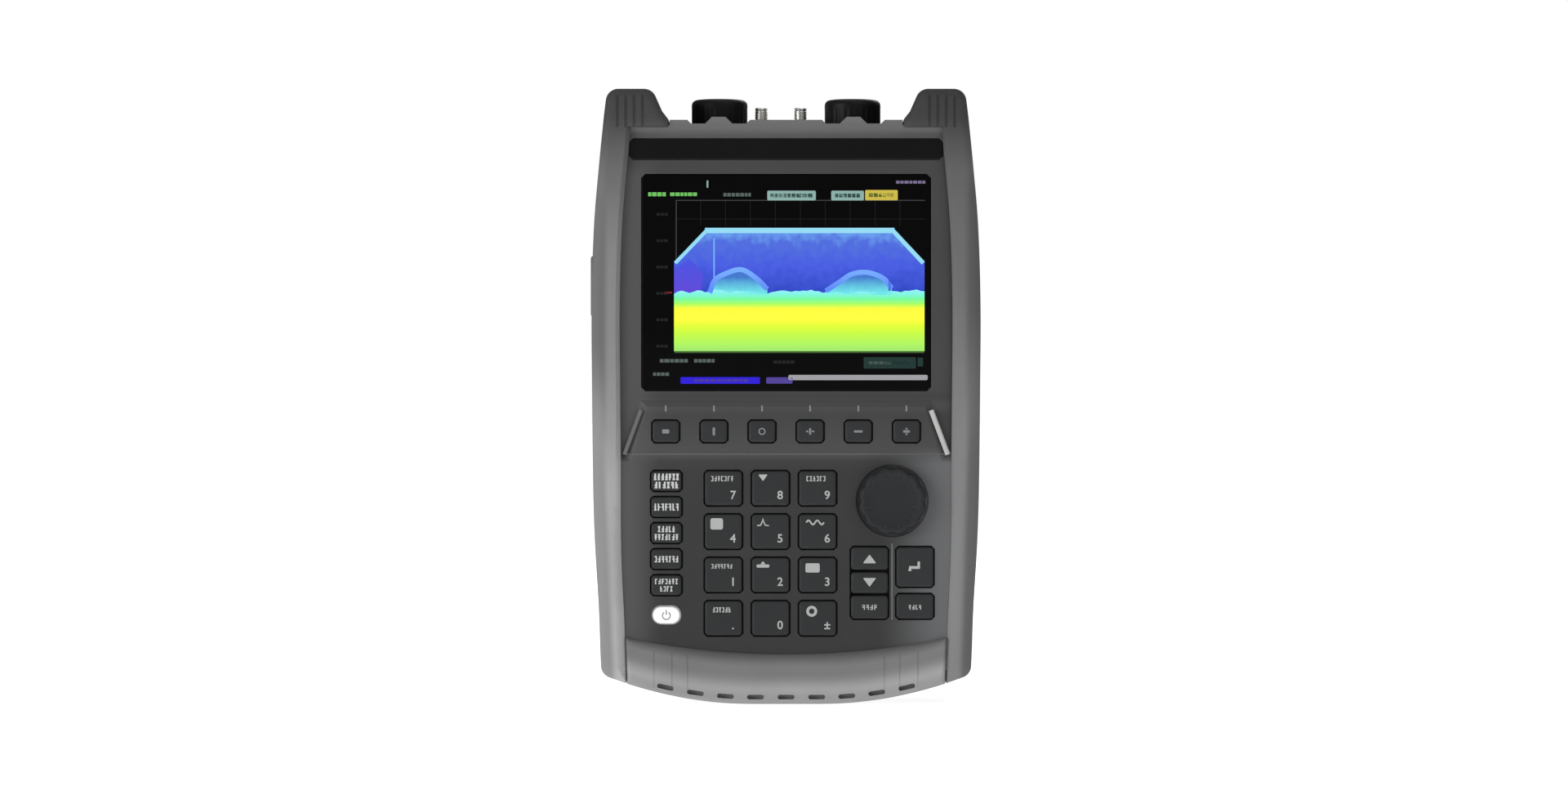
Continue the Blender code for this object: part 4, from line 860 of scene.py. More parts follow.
def triangle(x, z, width, height, up=True):
    flip = 1 if up else -1
    foot, tip = z - flip * height / 2, z + flip * height / 2
    corners = [(x - width / 2, foot, 0.25), (x + width / 2, foot, 0.25), (x, tip, 0.25)]
    return [roundCorners(corners[::flip], 2)]


# A ring is two half rings, so that each outline stays a simple loop
def ringShape(x, z, radius, stroke, start=0, sweep=360, steps=28):
    if sweep >= 360:
        return (ringShape(x, z, radius, stroke, start, 180, steps // 2)
                + ringShape(x, z, radius, stroke, start + 180, 180, steps // 2))
    points = []
    for reach, order in ((radius, 1), (radius - stroke, -1)):
        for degrees in evenly(start, start + sweep, steps)[::order]:
            angle = math.radians(degrees)
            points.append((x + reach * math.cos(angle), z + reach * math.sin(angle)))
    return [points]


def trace(points, stroke):
    left, right = [], []
    for index, (x, z) in enumerate(points):
        before = Vector(points[max(index - 1, 0)])
        after = Vector(points[min(index + 1, len(points) - 1)])
        along = (after - before).normalized()
        left.append((x - along.y * stroke / 2, z + along.x * stroke / 2))
        right.append((x + along.y * stroke / 2, z - along.x * stroke / 2))
    return [right + left[::-1]]


def wave(x, z, width, height, cycles, stroke=0.6):
    points = []
    for share in evenly(0, 1, 24):
        points.append((x - width / 2 + width * share, z + height / 2 * math.sin(math.tau * cycles * share)))
    return trace(points, stroke)


def peakIcon(x, z, width, height):
    rise = [(-0.5, -0.45), (-0.2, -0.4), (-0.08, 0.0), (0.0, 0.5), (0.08, 0.0), (0.2, -0.4), (0.5, -0.45)]
    return trace([(x + width * px, z + height * pz) for px, pz in rise], 0.6)


def makeDigit(name, text, x, z, body, finish, faceY):
    curve = bpy.data.curves.new(name, "FONT")
    curve.body = text
    curve.size = 5.6 * mm
    curve.align_x = curve.align_y = "CENTER"
    curve.extrude = 0.12 * mm
    curve.offset = 0.09 * mm
    letter = placed(name, curve)
    letter.rotation_euler = (math.pi / 2, 0, 0)
    letter.location = (x * mm, (faceY(x, z) - 0.02) * mm, z * mm)
    bpy.context.view_layer.update()
    graph = bpy.context.evaluated_depsgraph_get()
    mesh = bpy.data.meshes.new_from_object(letter.evaluated_get(graph))
    mesh.transform(letter.matrix_world)
    bpy.data.objects.remove(letter)
    mesh.materials.clear()
    mesh.materials.append(finish)
    return settle(placed(name, mesh), body, "key")


# Rows of each function key: lift, width, height, strokes, stroke width
functionRows = {1: ((1.95, 12.4, 3.2, 7, 0.84), (-1.95, 11.8, 3.2, 6, 0.84)), 2: ((0.0, 12.2, 3.4, 7, 0.66),),
                3: ((1.9, 8.6, 2.9, 5, 0.62), (-1.9, 11.8, 2.9, 7, 0.62)), 4: ((0.0, 11.8, 3.0, 7, 0.6),),
                5: ((1.8, 11.4, 2.6, 7, 0.52), (-1.7, 6.4, 2.6, 4, 0.52))}


def markShapes(node, x, z):
    number = int(node.split("_")[-1]) if node[-1].isdigit() else 0
    if node.startswith("soft_key"):
        return {1: bar(x, z, 3.4, 2.0, 0.5), 2: bar(x, z, 1.2, 3.8), 3: ringShape(x, z, 1.7, 0.6),
                4: bar(x, z, 1.0, 3.2) + bar(x - 1.4, z, 1.2, 0.9) + bar(x + 1.4, z, 1.2, 0.9),
                5: bar(x, z, 4.2, 1.1),
                6: bar(x, z, 3.2, 1.2) + bar(x, z + 1.3, 1.1, 0.8) + bar(x, z - 1.3, 1.1, 0.8)}[number]
    if node.startswith("function_key"):
        shapes = []
        for lift, width, height, count, stroke in functionRows[number]:
            shapes += strokeRow(x, z + lift, width, height, count, number * 10 + count, stroke)
        return shapes
    if node.startswith("pad_key"):
        high, left = z + 4.6, x - 3.6
        return {1: strokeRow(x - 0.6, high, 11.0, 2.5, 7, 41, 0.5),
                2: triangle(left, high + 0.4, 4.6, 3.2, False),
                3: strokeRow(x - 0.8, high, 9.6, 2.5, 6, 43, 0.5), 4: bar(x - 3.2, high - 0.9, 6.0, 5.4, 0.9),
                5: peakIcon(left, high - 0.1, 5.6, 3.6), 6: wave(x - 1.2, high - 0.2, 8.4, 2.0, 2, 0.75),
                7: strokeRow(x - 0.8, high - 0.4, 10.4, 2.2, 7, 47, 0.46),
                8: bar(left, high - 0.3, 6.2, 1.5, 0.6) + triangle(left, high + 1.3, 2.6, 1.5),
                9: bar(x - 2.4, high - 1.2, 6.8, 4.4, 0.7),
                10: strokeRow(x - 0.8, high - 0.5, 9.0, 2.5, 6, 50, 0.55), 11: [],
                12: ringShape(x - 2.8, high - 1.2, 2.6, 1.3)}[number]
    return {"nav_up_key": triangle(x, z - 0.2, 6.4, 4.2),
            "nav_down_key": triangle(x, z + 0.2, 6.4, 4.2, False),
            "back_key": strokeRow(x, z, 7.6, 2.4, 4, 61, 0.5),
            "mode_key": strokeRow(x, z - 0.4, 6.4, 2.2, 4, 62, 0.5),
            "enter_key": (bar(x, z - 0.2, 4.8, 1.3) + bar(x + 1.8, z + 1.0, 1.2, 3.4)
                          + triangle(x - 2.4, z - 0.2, 1.6, 3.4)),
            "power_key": ringShape(x, z - 0.2, 2.1, 0.5, 125, 290) + bar(x, z + 1.3, 0.5, 2.4, 0.2)}[node]


padDigits = "789456123.0±"
keyBodies = {}
for body, members in frame["record"]["behaviour"]["bodies"].items():
    for node in members:
        if "_key" in node and "keypad" not in node:
            keyBodies[node] = body
for node, body in keyBodies.items():
    makeKey(node, body)
    x, z = keyBounds(node)[:2]
    plain = body.replace("_", "")

    def faceY(px, pz):
        return keyFaceY(node, px, pz)

    shapes = markShapes(node, x, z)
    if node == "power_key":
        printed("powerIcon", shapes, faceY, legendDim, body, "power_key")
    elif shapes:
        ink = legendDim if node.startswith("soft") else legendInk if node.startswith("function") else padInk
        printed(plain + "Marks", shapes, faceY, ink, body, "key")
    if node.startswith("pad_key"):
        digit = padDigits[int(node.split("_")[-1]) - 1]
        makeDigit(plain + "Digit", digit, x + 4.6, z - 3.4, body, padInk, faceY)
print("keys made:", len(keyBodies))


# Rotary knob: scalloped skirt, dished face with a small ridge between scallops

knob = {"scallops": 12, "scallopDepth": 0.8, "scallopStart": 9.0, "scallopFull": 15.5, "ridgeThick": 0.6,
        "ridge": ((9.6, 0.25, 0.72), (12.6, 0.45, 0.3), (14.2, 0.5, 0.03))}


def knobWave(angle, radius, distance):
    depth = knob["scallopDepth"] * smoothStep(knob["scallopStart"], knob["scallopFull"], radius)
    return radius - depth * (0.5 + 0.5 * math.cos(knob["scallops"] * angle)) ** 2


knobLow, knobHigh = boxOf("rotary_knob")
knobX, knobZ = (knobLow.x + knobHigh.x) / 2, (knobLow.z + knobHigh.z) / 2
knobDeep = knobHigh.y - knobLow.y
profile = [(5.2, 6.0), (knobDeep, 6.0), (knobDeep, 15.6), (6.9, 16.2), (5.6, 16.4), (2.2, 16.2), (1.3, 15.9),
           (0.6, 15.4), (0.15, 14.8), (0.0, 14.2), (0.12, 13.6), (0.45, 12.8), (0.8, 11.2), (0.98, 8.0),
           (1.05, 4.0)]
rings = turned((knobX, knobLow.y, knobZ), (0, 1, 0), profile, 144, knobWave)
smoothPiece("knobBody", knobRubber, 38, [rings], "knob", "knob", "rotary_knob")
ridges = []
for index in range(knob["scallops"]):
    angle = math.tau * (index + 0.5) / knob["scallops"]
    direction = Vector((math.cos(angle), math.sin(angle)))
    across = Vector((-direction.y, direction.x))
    sides = {-1: [], 1: []}
    for along, wide, lift in knob["ridge"]:
        for flip in sides:
            point = direction * along + across * wide * flip
            sides[flip].append((knobX + point.x, knobLow.y + lift, knobZ + point.y))
    outline = [sides[-1][0]] + sides[1] + sides[-1][:0:-1]
    ridges.append([outline, [(x, y + knob["ridgeThick"], z) for x, y, z in outline]])
settle(solid("knobRidges", [knobRubber], *ridges), "knob", "knob")
print("knob made")


# Header strip and display window with the generic picture on it

headLow, headHigh = boxOf("header_strip")
headMiddle, headSize = (headLow + headHigh) / 2, headHigh - headLow
rings = []
for drop, y in ((0.5, 0.0), (0.12, 0.1), (0.0, 0.25), (0.0, headSize.y)):
    loop = roundedLoop(headMiddle.x, headMiddle.z, headSize.x - drop, headSize.z - drop, 1.6)
    rings.append(atDepth(loop, headLow.y + y))
smoothPiece("headerBand", headerGloss, 50, [rings], "casing", "header", "header_strip")
windowLow, windowHigh = boxOf("display_window")
windowMiddle, windowSize = (windowLow + windowHigh) / 2, windowHigh - windowLow
rings = []
for drop, y in ((4.6, windowLow.y), (4.15, windowLow.y + 0.12), (4.0, windowLow.y + 0.3),
                (4.0, windowHigh.y - 1.6), (0.0, windowHigh.y - 1.6), (0.0, windowHigh.y)):
    rings.append(atDepth(roundedLoop(0, windowMiddle.z, windowSize.x - drop, windowSize.z - drop, 2.0), y))
smoothPiece("windowPane", windowGloss, 50, [rings], "casing", "window", "display_window")


def glow(name, stops, axis=xAxis, low=0.0, high=1.0, mottle=0.0, mottleScale=220.0):
    finish, tree, shader = newMaterial(name, {
        "Base Color": tone(6), "Roughness": 0.2, "Specular IOR Level": 0.2, "Emission Strength": 1.0})
    place = placeIn(tree)
    spread = remap(tree, reachAlong(tree, place, axis), low * mm, high * mm)
    noise = compute(tree, "SUBTRACT", noiseOver(tree, place, mottleScale, 3.0, 0.5), 0.5)
    value = compute(tree, "ADD", spread, compute(tree, "MULTIPLY", noise, mottle), use_clamp=True)
    feed(tree, shader, {"Emission Color": colourRamp(tree, value, stops)})
    return finish


picture = {"left": -53.6, "right": 66.2, "humpTop": 226.6, "shoulder": 211.5, "humpLeft": -38.4,
           "humpRight": 51.4, "bandTop": 197.0, "bandBottom": 168.6, "line": 2.0}
bandStops = ((0.0, 160, 232, 112), (0.12, 176, 247, 96), (0.3, 202, 252, 66), (0.42, 228, 255, 54),
             (0.52, 255, 255, 64), (0.7, 255, 252, 60), (0.78, 168, 255, 96), (0.86, 120, 250, 160),
             (0.94, 130, 245, 225), (1.0, 150, 240, 250))
humpStops = ((0.0, 44, 70, 196), (0.45, 70, 92, 226), (0.8, 80, 110, 222), (1.0, 104, 158, 238))
screenInk = {
    "hump": glow("humpGlow", humpStops, zAxis, 196, 226, 0.5, 260.0),
    "humpSide": glow("humpSideGlow", ((0.0, 96, 70, 215), (1.0, 66, 84, 228)), zAxis, 196, 214, 0.4, 200.0),
    "arch": glow("archGlow", ((0.0, 96, 140, 250), (1.0, 120, 175, 255)), zAxis, 198, 208, 0.4, 300.0),
    "archShade": glow("archShadeGlow", ((0.0, 110, 225, 235), (1.0, 66, 120, 205)), zAxis, 197, 204, 0.3,
                      300.0),
    "band": glow("bandGlow", bandStops, zAxis, 168.6, 197.6, 0.035, 420.0)}
plainInks = {"outline": (150, 220, 245), "fringe": (58, 88, 40), "line": (58, 58, 62), "faint": (24, 26, 30),
             "green": (110, 190, 96), "grey": (84, 96, 90), "pale": (140, 176, 168), "yellow": (206, 186, 74),
             "violet": (120, 108, 140), "teal": (26, 52, 48), "blue": (44, 26, 214), "dimBlue": (82, 64, 150),
             "bar": (158, 158, 162), "red": (120, 30, 36)}
for ink, shade in plainInks.items():
    screenInk[ink] = glow(ink + "Glow", ((0.0, *shade), (1.0, *shade)))
screenShapes = []   # (ink, layer, outline)


def draw(ink, layer, outline):
    screenShapes.append((ink, layer, outline))


def drawSpectrum():
    p = picture
    maker = random.Random(11)
    floorLine = []
    for x in evenly(p["right"], p["left"], 64):
        floorLine.append((x, p["bandTop"] + maker.uniform(-0.9, 0.7) + 0.5 * math.sin(x * 0.13)))
    draw("band", 3, [(p["left"], p["bandBottom"]), (p["right"], p["bandBottom"])] + floorLine)
    left, right, low, top = p["left"], p["right"], p["bandTop"], p["humpTop"]
    draw("hump", 1, [(left, low - 3), (right, low - 3), (right, p["shoulder"]), (p["humpRight"], top),
                     (p["humpLeft"], top), (left, p["shoulder"])])
    draw("humpSide", 2, [(left, low - 2), (-41.0, low - 2), (-39.6, 206.0), (-46.0, 212.5), (left, 207.5)])
    shoulder, line = p["shoulder"] - 0.8, p["line"]
    for start, end, width in (
            ((p["humpLeft"] - 0.4, top - 0.3), (p["humpRight"] + 0.4, top - 0.3), line + 0.5),
            ((p["left"] + 0.6, shoulder), (p["humpLeft"] + 0.3, top - 0.4), line - 0.3),
            ((p["humpRight"] - 0.3, top - 0.4), (p["right"] - 0.6, shoulder), line)):
        draw("outline", 4, trace([start, end], width)[0])
    leftArch = [(-36.5, 196.5), (-34.0, 202.6), (-29.0, 205.6), (-21.5, 207.6), (-14.5, 203.6), (-9.0, 198.2)]
    rightArch = [(19.0, 197.4), (25.5, 201.6), (31.5, 205.4), (39.0, 206.2), (46.5, 203.4), (50.5, 198.6)]
    for arch in (leftArch, rightArch):
        curve = smoothCurve(arch, 6)
        draw("archShade", 3, curve + [(arch[-1][0], 195.5), (arch[0][0], 195.5)])
        draw("arch", 4, trace(curve, 2.4)[0])
    draw("arch", 2, strip(-34.8, 203.0, -34.1, 222.5))
    draw("hump", 4, strip(48.9, 197.5, 50.0, 203.2))
    draw("fringe", 2, strip(p["left"] + 0.3, p["bandBottom"] - 0.9, p["right"] - 0.3, p["bandBottom"]))


def smoothCurve(points, steps):
    curve = []
    for index in range(len(points) - 1):
        four = [Vector(points[min(max(index + shift, 0), len(points) - 1)]) for shift in (-1, 0, 1, 2)]
        before, start, end, after = four
        for step in range(steps):
            t = step / steps
            curve.append(tuple(0.5 * (2 * start + (end - before) * t
                                      + (2 * before - 5 * start + 4 * end - after) * t * t
                                      + (3 * start - before - 3 * end + after) * t ** 3)))
    return curve + [points[-1]]


def drawGraticule():
    left, right, top, bottom = -52.8, 66.4, 240.9, 168.0
    draw("line", 1, strip(left, 212.0, left + 0.5, top))
    draw("line", 1, strip(left, top - 0.45, right, top))
    for z in evenly(top, bottom, 8)[1:8]:
        if z > 228:
            draw("faint", 1, strip(left + 0.5, z - 0.12, right, z + 0.12))
    for x in evenly(left, right, 10)[1:10]:
        draw("faint", 1, strip(x - 0.12, 228.6, x + 0.12, top - 0.45))


def drawReadouts():
    def words(ink, x0, x1, z, height, count, seed):
        for outline in dots((x0 + x1) / 2, z, x1 - x0, height, count, seed):
            draw(ink, 2, outline)

    def patch(ink, x, z, width, height, corner):
        draw(ink, 2, roundedLoop(x, z, width, height, corner, 2))

    words("green", -66.0, -57.5, 243.6, 1.9, 4, 1)
    words("green", -55.5, -42.6, 243.6, 1.7, 6, 2)
    words("grey", -30.0, -16.8, 243.4, 1.7, 7, 3)
    patch("pale", 2.6, 243.0, 23.2, 4.6, 0.5)
    patch("pale", 29.4, 243.0, 15.6, 4.6, 0.5)
    patch("yellow", 45.6, 243.2, 15.6, 4.9, 0.5)
    words("teal", -7.6, 12.6, 243.0, 1.9, 9, 4)
    words("teal", 23.4, 35.4, 243.0, 1.9, 6, 5)
    words("fringe", 39.6, 51.6, 243.2, 1.9, 6, 6)
    words("violet", 52.6, 66.6, 249.4, 1.4, 7, 7)
    draw("pale", 2, strip(-38.0, 246.8, -37.2, 250.2))
    draw("red", 2, strip(-58.2, 196.2, -54.6, 197.0))
    for index in range(6):
        words("faint", -62.0, -56.6, 234.0 - index * 12.6, 1.3, 3, 30 + index)
    words("grey", -60.4, -47.0, 164.0, 1.7, 6, 8)
    words("grey", -44.0, -34.2, 164.0, 1.7, 5, 9)
    words("faint", -6.0, 4.0, 163.4, 1.5, 5, 10)
    patch("teal", 49.6, 163.0, 25.0, 5.4, 0.4)
    words("grey", 39.5, 59.5, 163.0, 1.4, 9, 12)
    patch("teal", 64.2, 163.4, 2.6, 4.2, 0.3)
    words("grey", -63.6, -56.0, 157.6, 1.6, 4, 13)
    patch("blue", -31.5, 154.6, 38.0, 3.2, 0.5)
    patch("dimBlue", -3.2, 154.6, 12.6, 3.0, 0.5)
    words("dimBlue", -44.0, -18.0, 154.6, 1.3, 10, 14)
    patch("bar", 34.4, 156.0, 66.6, 2.5, 0.6)


drawSpectrum()
drawGraticule()
drawReadouts()
inkNames = list(screenInk)
bm = bmesh.new()
for ink, layer, outline in screenShapes:
    face = bm.faces.new(vertsAt(bm, atDepth(outline, windowLow.y - 0.03 - 0.025 * layer)))
    face.material_index = inkNames.index(ink)
bmesh.ops.triangulate(bm, faces=bm.faces[:], ngon_method="EAR_CLIP")
for face in bm.faces:
    face.normal_update()
    if face.normal.y > 0:
        face.normal_flip()
settle(meshObject("screenPicture", bm, screenInk.values(), outward=False), "casing", "window")
print("display made:", len(screenShapes), "marks")


# Dust caps and the coaxial ports

cap = {"flutes": 28, "fluteDepth": 0.35, "bore": 8.35, "boreTop": 6.3}
capShoulder = ((6.2, 0), (5.0, 0), (3.4, 0), (2.4, 0.1), (1.7, 0.35), (1.1, 0.8), (0.65, 1.4), (0.35, 2.2),
               (0.15, 3.6), (0.03, 5.6), (0.0, 7.4), (0.4, 7.9))   # (below the top, in from the side)


def makeCap(node, name, body):
    low, high = boxOf(node)
    middle, tall, radius = (low + high) / 2, high.z - low.z, (high.x - low.x) / 2

    def fluted(angle, reach, distance):
        depth = cap["fluteDepth"] * smoothStep(radius - 1.2, radius - 0.2, reach)
        depth *= smoothStep(0.8, 2.2, distance)
        depth *= 1 - smoothStep(tall - 6.0, tall - 4.2, distance)
        return reach - depth * (0.5 + 0.5 * math.cos(cap["flutes"] * angle))

    profile = [(tall - cap["boreTop"], cap["bore"]), (0.4, cap["bore"]), (0.0, 8.8), (0.0, radius - 0.8),
               (0.35, radius - 0.2)]
    profile += [(distance, radius) for distance in (0.9, 1.6, 2.4, 4.5, 7.0)]
    profile += [(tall - under, radius - inset) for under, inset in capShoulder] + [(tall - 0.45, 2.0)]
    rings = turned((middle.x, middle.y, low.z), (0, 0, 1), profile, 112, fluted)
    return smoothPiece(name, capRubber, 40, [rings], body, "cap", node)


makeCap("port_1_cap", "dustCapLeft", "cap_1")
makeCap("port_2_cap", "dustCapRight", "cap_2")

plateLow, plateHigh = boxOf("port_connectors")
port = {"y": (plateLow.y + plateHigh.y) / 2, "plateTop": plateHigh.z - 19.2, "largeX": (-32.2, 32.2),
        "smallX": (-12.0, 7.0), "nutRadius": 11.2}
portY, plateTop, plateWide = port["y"], port["plateTop"], 2 * plateHigh.x


def threaded(start, end, radius, pitch, depth):
    profile = []
    distance = start
    while distance < end:
        for share, cut in ((0.0, depth), (0.3, 0.0), (0.55, 0.0), (0.85, depth)):
            profile.append((distance + pitch * share, radius - cut))
        distance += pitch
    return profile


def makeLathed(name, x, profile, steps, finish, angle):
    rings = turned((x, portY, plateTop), (0, 0, 1), profile, steps)
    return smoothPiece(name, finish, angle, [rings], "casing", "port_metal")


plate = roundedLoop(0, portY, plateWide, 25.0, 2.4, 5)
plateEdge = roundedLoop(0, portY, plateWide - 0.6, 24.4, 2.2, 5)
under = roundedLoop(0, portY, plateWide - 8.7, 16.4, 1.0, 5)
upper = [atHeight(plate, plateTop - 1.9), atHeight(plate, plateTop - 0.3), atHeight(plateEdge, plateTop)]
lower = [atHeight(under, plateLow.z), atHeight(under, plateTop - 1.7)]
portPlate = solid("portPlate", [castMetal], upper, lower)
settle(softenEdges(portPlate, 0.3), "casing", "port_metal", "port_connectors")
largeBody = [(0.0, 10.0), (0.6, 10.0), (3.2, 9.9), (3.6, 9.5), (3.6, 7.6), (5.0, 7.6),
             *threaded(5.0, 15.6, 8.0, 1.0, 0.45), (15.9, 7.6), (16.5, 7.5), (16.7, 7.2), (16.7, 6.2),
             (16.2, 5.6), (7.9, 5.6), (7.9, 2.2), (7.7, 2.0)]
largeCollar = [(7.5, 4.2), (10.2, 4.2), (10.6, 3.8), (10.6, 1.6)]
largePin = [(9.0, 1.5), (13.4, 1.5), (13.8, 1.2), (13.8, 0.8), (12.4, 0.8)]
smallBody = [(0.0, 4.6), (3.2, 4.6), (3.6, 4.2), (3.6, 2.7), (5.0, 2.7), *threaded(5.0, 17.8, 3.1, 0.8, 0.3),
             (18.6, 3.0), (19.0, 2.9), (19.2, 2.7), (19.2, 2.3), (14.4, 2.3), (14.4, 0.6)]
smallCollar = [(14.3, 2.2), (15.6, 2.2), (15.6, 0.7)]
for number, x in enumerate(port["largeX"], 1):
    makeLathed(f"coaxBody{number}", x, largeBody, 56, nickel, 25)
    makeLathed(f"coaxCollar{number}", x, largeCollar, 40, whitePlastic, 35)
    makeLathed(f"coaxPin{number}", x, largePin, 24, gold, 35)
    hexagon = []
    for step in range(6):
        angle = math.tau * (step + 0.5) / 6
        hexagon.append((x + port["nutRadius"] * math.cos(angle), portY + port["nutRadius"] * math.sin(angle)))
    nut = solid(f"coaxNut{number}", [nickel], [atHeight(hexagon, plateTop + lift) for lift in (-0.1, 1.3)])
    settle(softenEdges(nut, 0.35), "casing", "port_metal")
for number, x in enumerate(port["smallX"], 1):
    makeLathed(f"smallCoax{number}", x, smallBody, 36, nickel, 25)
    makeLathed(f"smallCollar{number}", x, smallCollar, 24, whitePlastic, 35)
print("ports made")


# Side port doors: grip ribs, the left one's pull tab, and a soft rim inside that seals round the sockets

door = {"thick": 3.3, "ribs": 5, "ribPitch": 5.2, "ribFoot": 9, "ribGap": 38.8, "ribLong": 14.0,
        "ribTall": 1.8, "ribDepth": 0.7, "ribShift": 2.5, "tabTall": 29.0, "tabWide": 6.0, "rimWide": 17.0,
        "rimTall": 77.0}


def makeDoor(side, node, name, body):
    low, high = boxOf(node)
    front, back, bottom, top = low.y, high.y, low.z, high.z
    levels = evenly(bottom, top, 24)
    rings = []
    for y, drop in ((front, 0.5), (front + 0.15, 0.2), (front + 0.5, 0.0), (back - 0.5, 0.0),
                    (back - 0.15, 0.2), (back, 0.5)):
        outside = [(side * (sideX(z) - drop), z) for z in levels]
        inside = [(side * (sideX(z) - door["thick"]), z) for z in levels]
        rings.append(atDepth(outside + inside[::-1], y))
    ribs = []
    ribY = (front + back) / 2 + door["ribShift"]
    for index in range(door["ribs"]):
        for shift in (0, top - bottom - door["ribGap"]):
            z = bottom + door["ribFoot"] + index * door["ribPitch"] + shift
            slot = roundedLoop(ribY, z, door["ribLong"], door["ribTall"], 0.85, 4)
            ribs.append([atSide(slot, side * (sideX(z) + out)) for out in (-door["ribDepth"], 2)])
    piece = carve(solid(name, [doorRubber], rings, unit=1.0), [cutter(name + "Ribs", *ribs)])
    if side < 0:
        tab = []
        for out, drop in ((-1.0, 0.0), (0.6, 0.0), (0.95, 0.25), (1.2, 0.8)):
            slot = roundedLoop(front + door["tabWide"] / 2, (bottom + top) / 2 + door["tabTall"] / 4,
                               door["tabWide"] - 2 * drop, door["tabTall"] - 2 * drop, 1.6, 5)
            tab.append(atSide(slot, side * (casing["halfWidth"] + out)))
        carve(piece, [cutter(name + "Tab", tab)], "UNION")
    piece.data.materials.clear()
    piece.data.materials.append(doorRubber)
    return settleCarved(piece, body, "grip", node)


def makeDoorRim(side, node, name, body):
    low, high = boxOf(node)
    rings = []
    for inset, depth in ((0.0, 3.2), (0.0, 3.9), (0.4, 4.1), (1.6, 4.1), (2.0, 3.9), (2.0, 3.2)):
        loop = roundedLoop((low.y + high.y) / 2, (low.z + high.z) / 2, door["rimWide"] - 2 * inset,
                           door["rimTall"] - 2 * inset, 3.0 - inset * 0.8, 5)
        rings.append([(side * (sideX(z) - depth), y, z) for y, z in loop])
    bm = bmesh.new()
    loops = loft(bm, rings, False, False)
    bridge(bm, loops[-1], loops[0])
    return settle(shadeSmooth(meshObject(name, bm, [sealRubber]), 40), body, "grip")


sideDoors = ((-1, "left_port_door", "Left", "left_door"), (1, "right_port_door", "Right", "right_door"))
for side, node, ending, body in sideDoors:
    makeDoor(side, node, "door" + ending, body)
for side, node, ending, body in sideDoors:
    makeDoorRim(side, node, "doorRim" + ending, body)
print("doors made")


# Thin trim on the front: the soft-key field's border, ticks and the line between the arrow columns; the
# border's right side is painted bright as a highlight

trim = {"low": 119.4, "high": 140.2, "lowX": 77.2, "highX": 69.4, "tickZ": 141.2, "columnLow": 40.5,
        "columnHigh": 76.5}


def ridge(name, first, second, width, height, finish):
    along = (Vector(second) - Vector(first)).normalized()
    across = Vector((-along.y, along.x))
    ends = []
    for end in (Vector(first) - along * 0.2, Vector(second) + along * 0.2):
        outline = []
        for share, lift in ((-1.0, -0.4), (-1.0, 0.2), (-0.45, 1.0), (0.45, 1.0), (1.0, 0.2), (1.0, -0.4)):
            point = end + across * share * width / 2
            outline.append((point.x, panelY - height * lift, point.y))
        ends.append(outline)
    return smoothPiece(name, finish, 30, [ends], "casing", "casing")


lowRight, highRight = (trim["lowX"], trim["low"]), (trim["highX"], trim["high"])
lowLeft, highLeft = (-trim["lowX"], trim["low"]), (-trim["highX"], trim["high"])
navX = (keyBounds("nav_up_key")[0] + keyBounds("enter_key")[0]) / 2
ridge("fieldEdgeRight", highRight, lowRight, 2.4, 0.8, edgeBright)
ridge("fieldEdgeLeft", highLeft, lowLeft, 2.0, 0.8, edgeGrey)
ridge("fieldEdgeLow", lowLeft, lowRight, 0.5, 0.2, edgeGrey)
ticks = []
for number in range(1, 7):
    ticks.append(roundedLoop(keyBounds(f"soft_key_{number}")[0], trim["tickZ"], 0.8, 3.0, 0.35, 3))
printed("softTicks", ticks, lambda x, z: panelY, legendDim, "casing", "casing", 0.2)
ridge("columnLine", (navX, trim["columnLow"]), (navX, trim["columnHigh"]), 0.9, 0.3, edgeGrey)
print("front trim made")


# Back details: louvres over a black sheet painted as the shade between them, label plate without any print,
# raised bars on the battery door

def pad(name, x, z, width, height, base, rise, corner, finish, edge, body="casing", slotName="casing"):
    rings = []
    for drop, share in ((0.0, -0.2), (0.0, 0.4), (edge * 0.3, 0.8), (edge, 1.0)):
        loop = roundedLoop(x, z, width - 2 * drop, height - 2 * drop, max(corner - drop, 0.3), 5)
        rings.append(atDepth(loop, base + rise * share))
    return smoothPiece(name, finish, 40, [rings], body, slotName)


back = {"labelZ": 226.0, "labelWide": 74.0, "labelTall": 28.0, "labelRim": 5, "ventZ": 183.5,
        "ventPitch": 3.6, "ventCount": 7, "ventWide": 76.0, "ventBorder": 4, "lidBars": 5,
        "lidBarPitch": 3.0, "lidBarTop": 11.5, "lidBarWide": 34.0, "lidMargin": 12}
wide, tall, rim = back["labelWide"], back["labelTall"], back["labelRim"]
pad("labelRim", 0, back["labelZ"], wide + rim, tall + rim, rearY, 0.45, 2.6, backCase, 0.4)
pad("labelPlate", 0, back["labelZ"], wide, tall, rearY + 0.45, 0.3, 1.5, labelFoil, 0.15)
pitch, count, wide = back["ventPitch"], back["ventCount"], back["ventWide"]
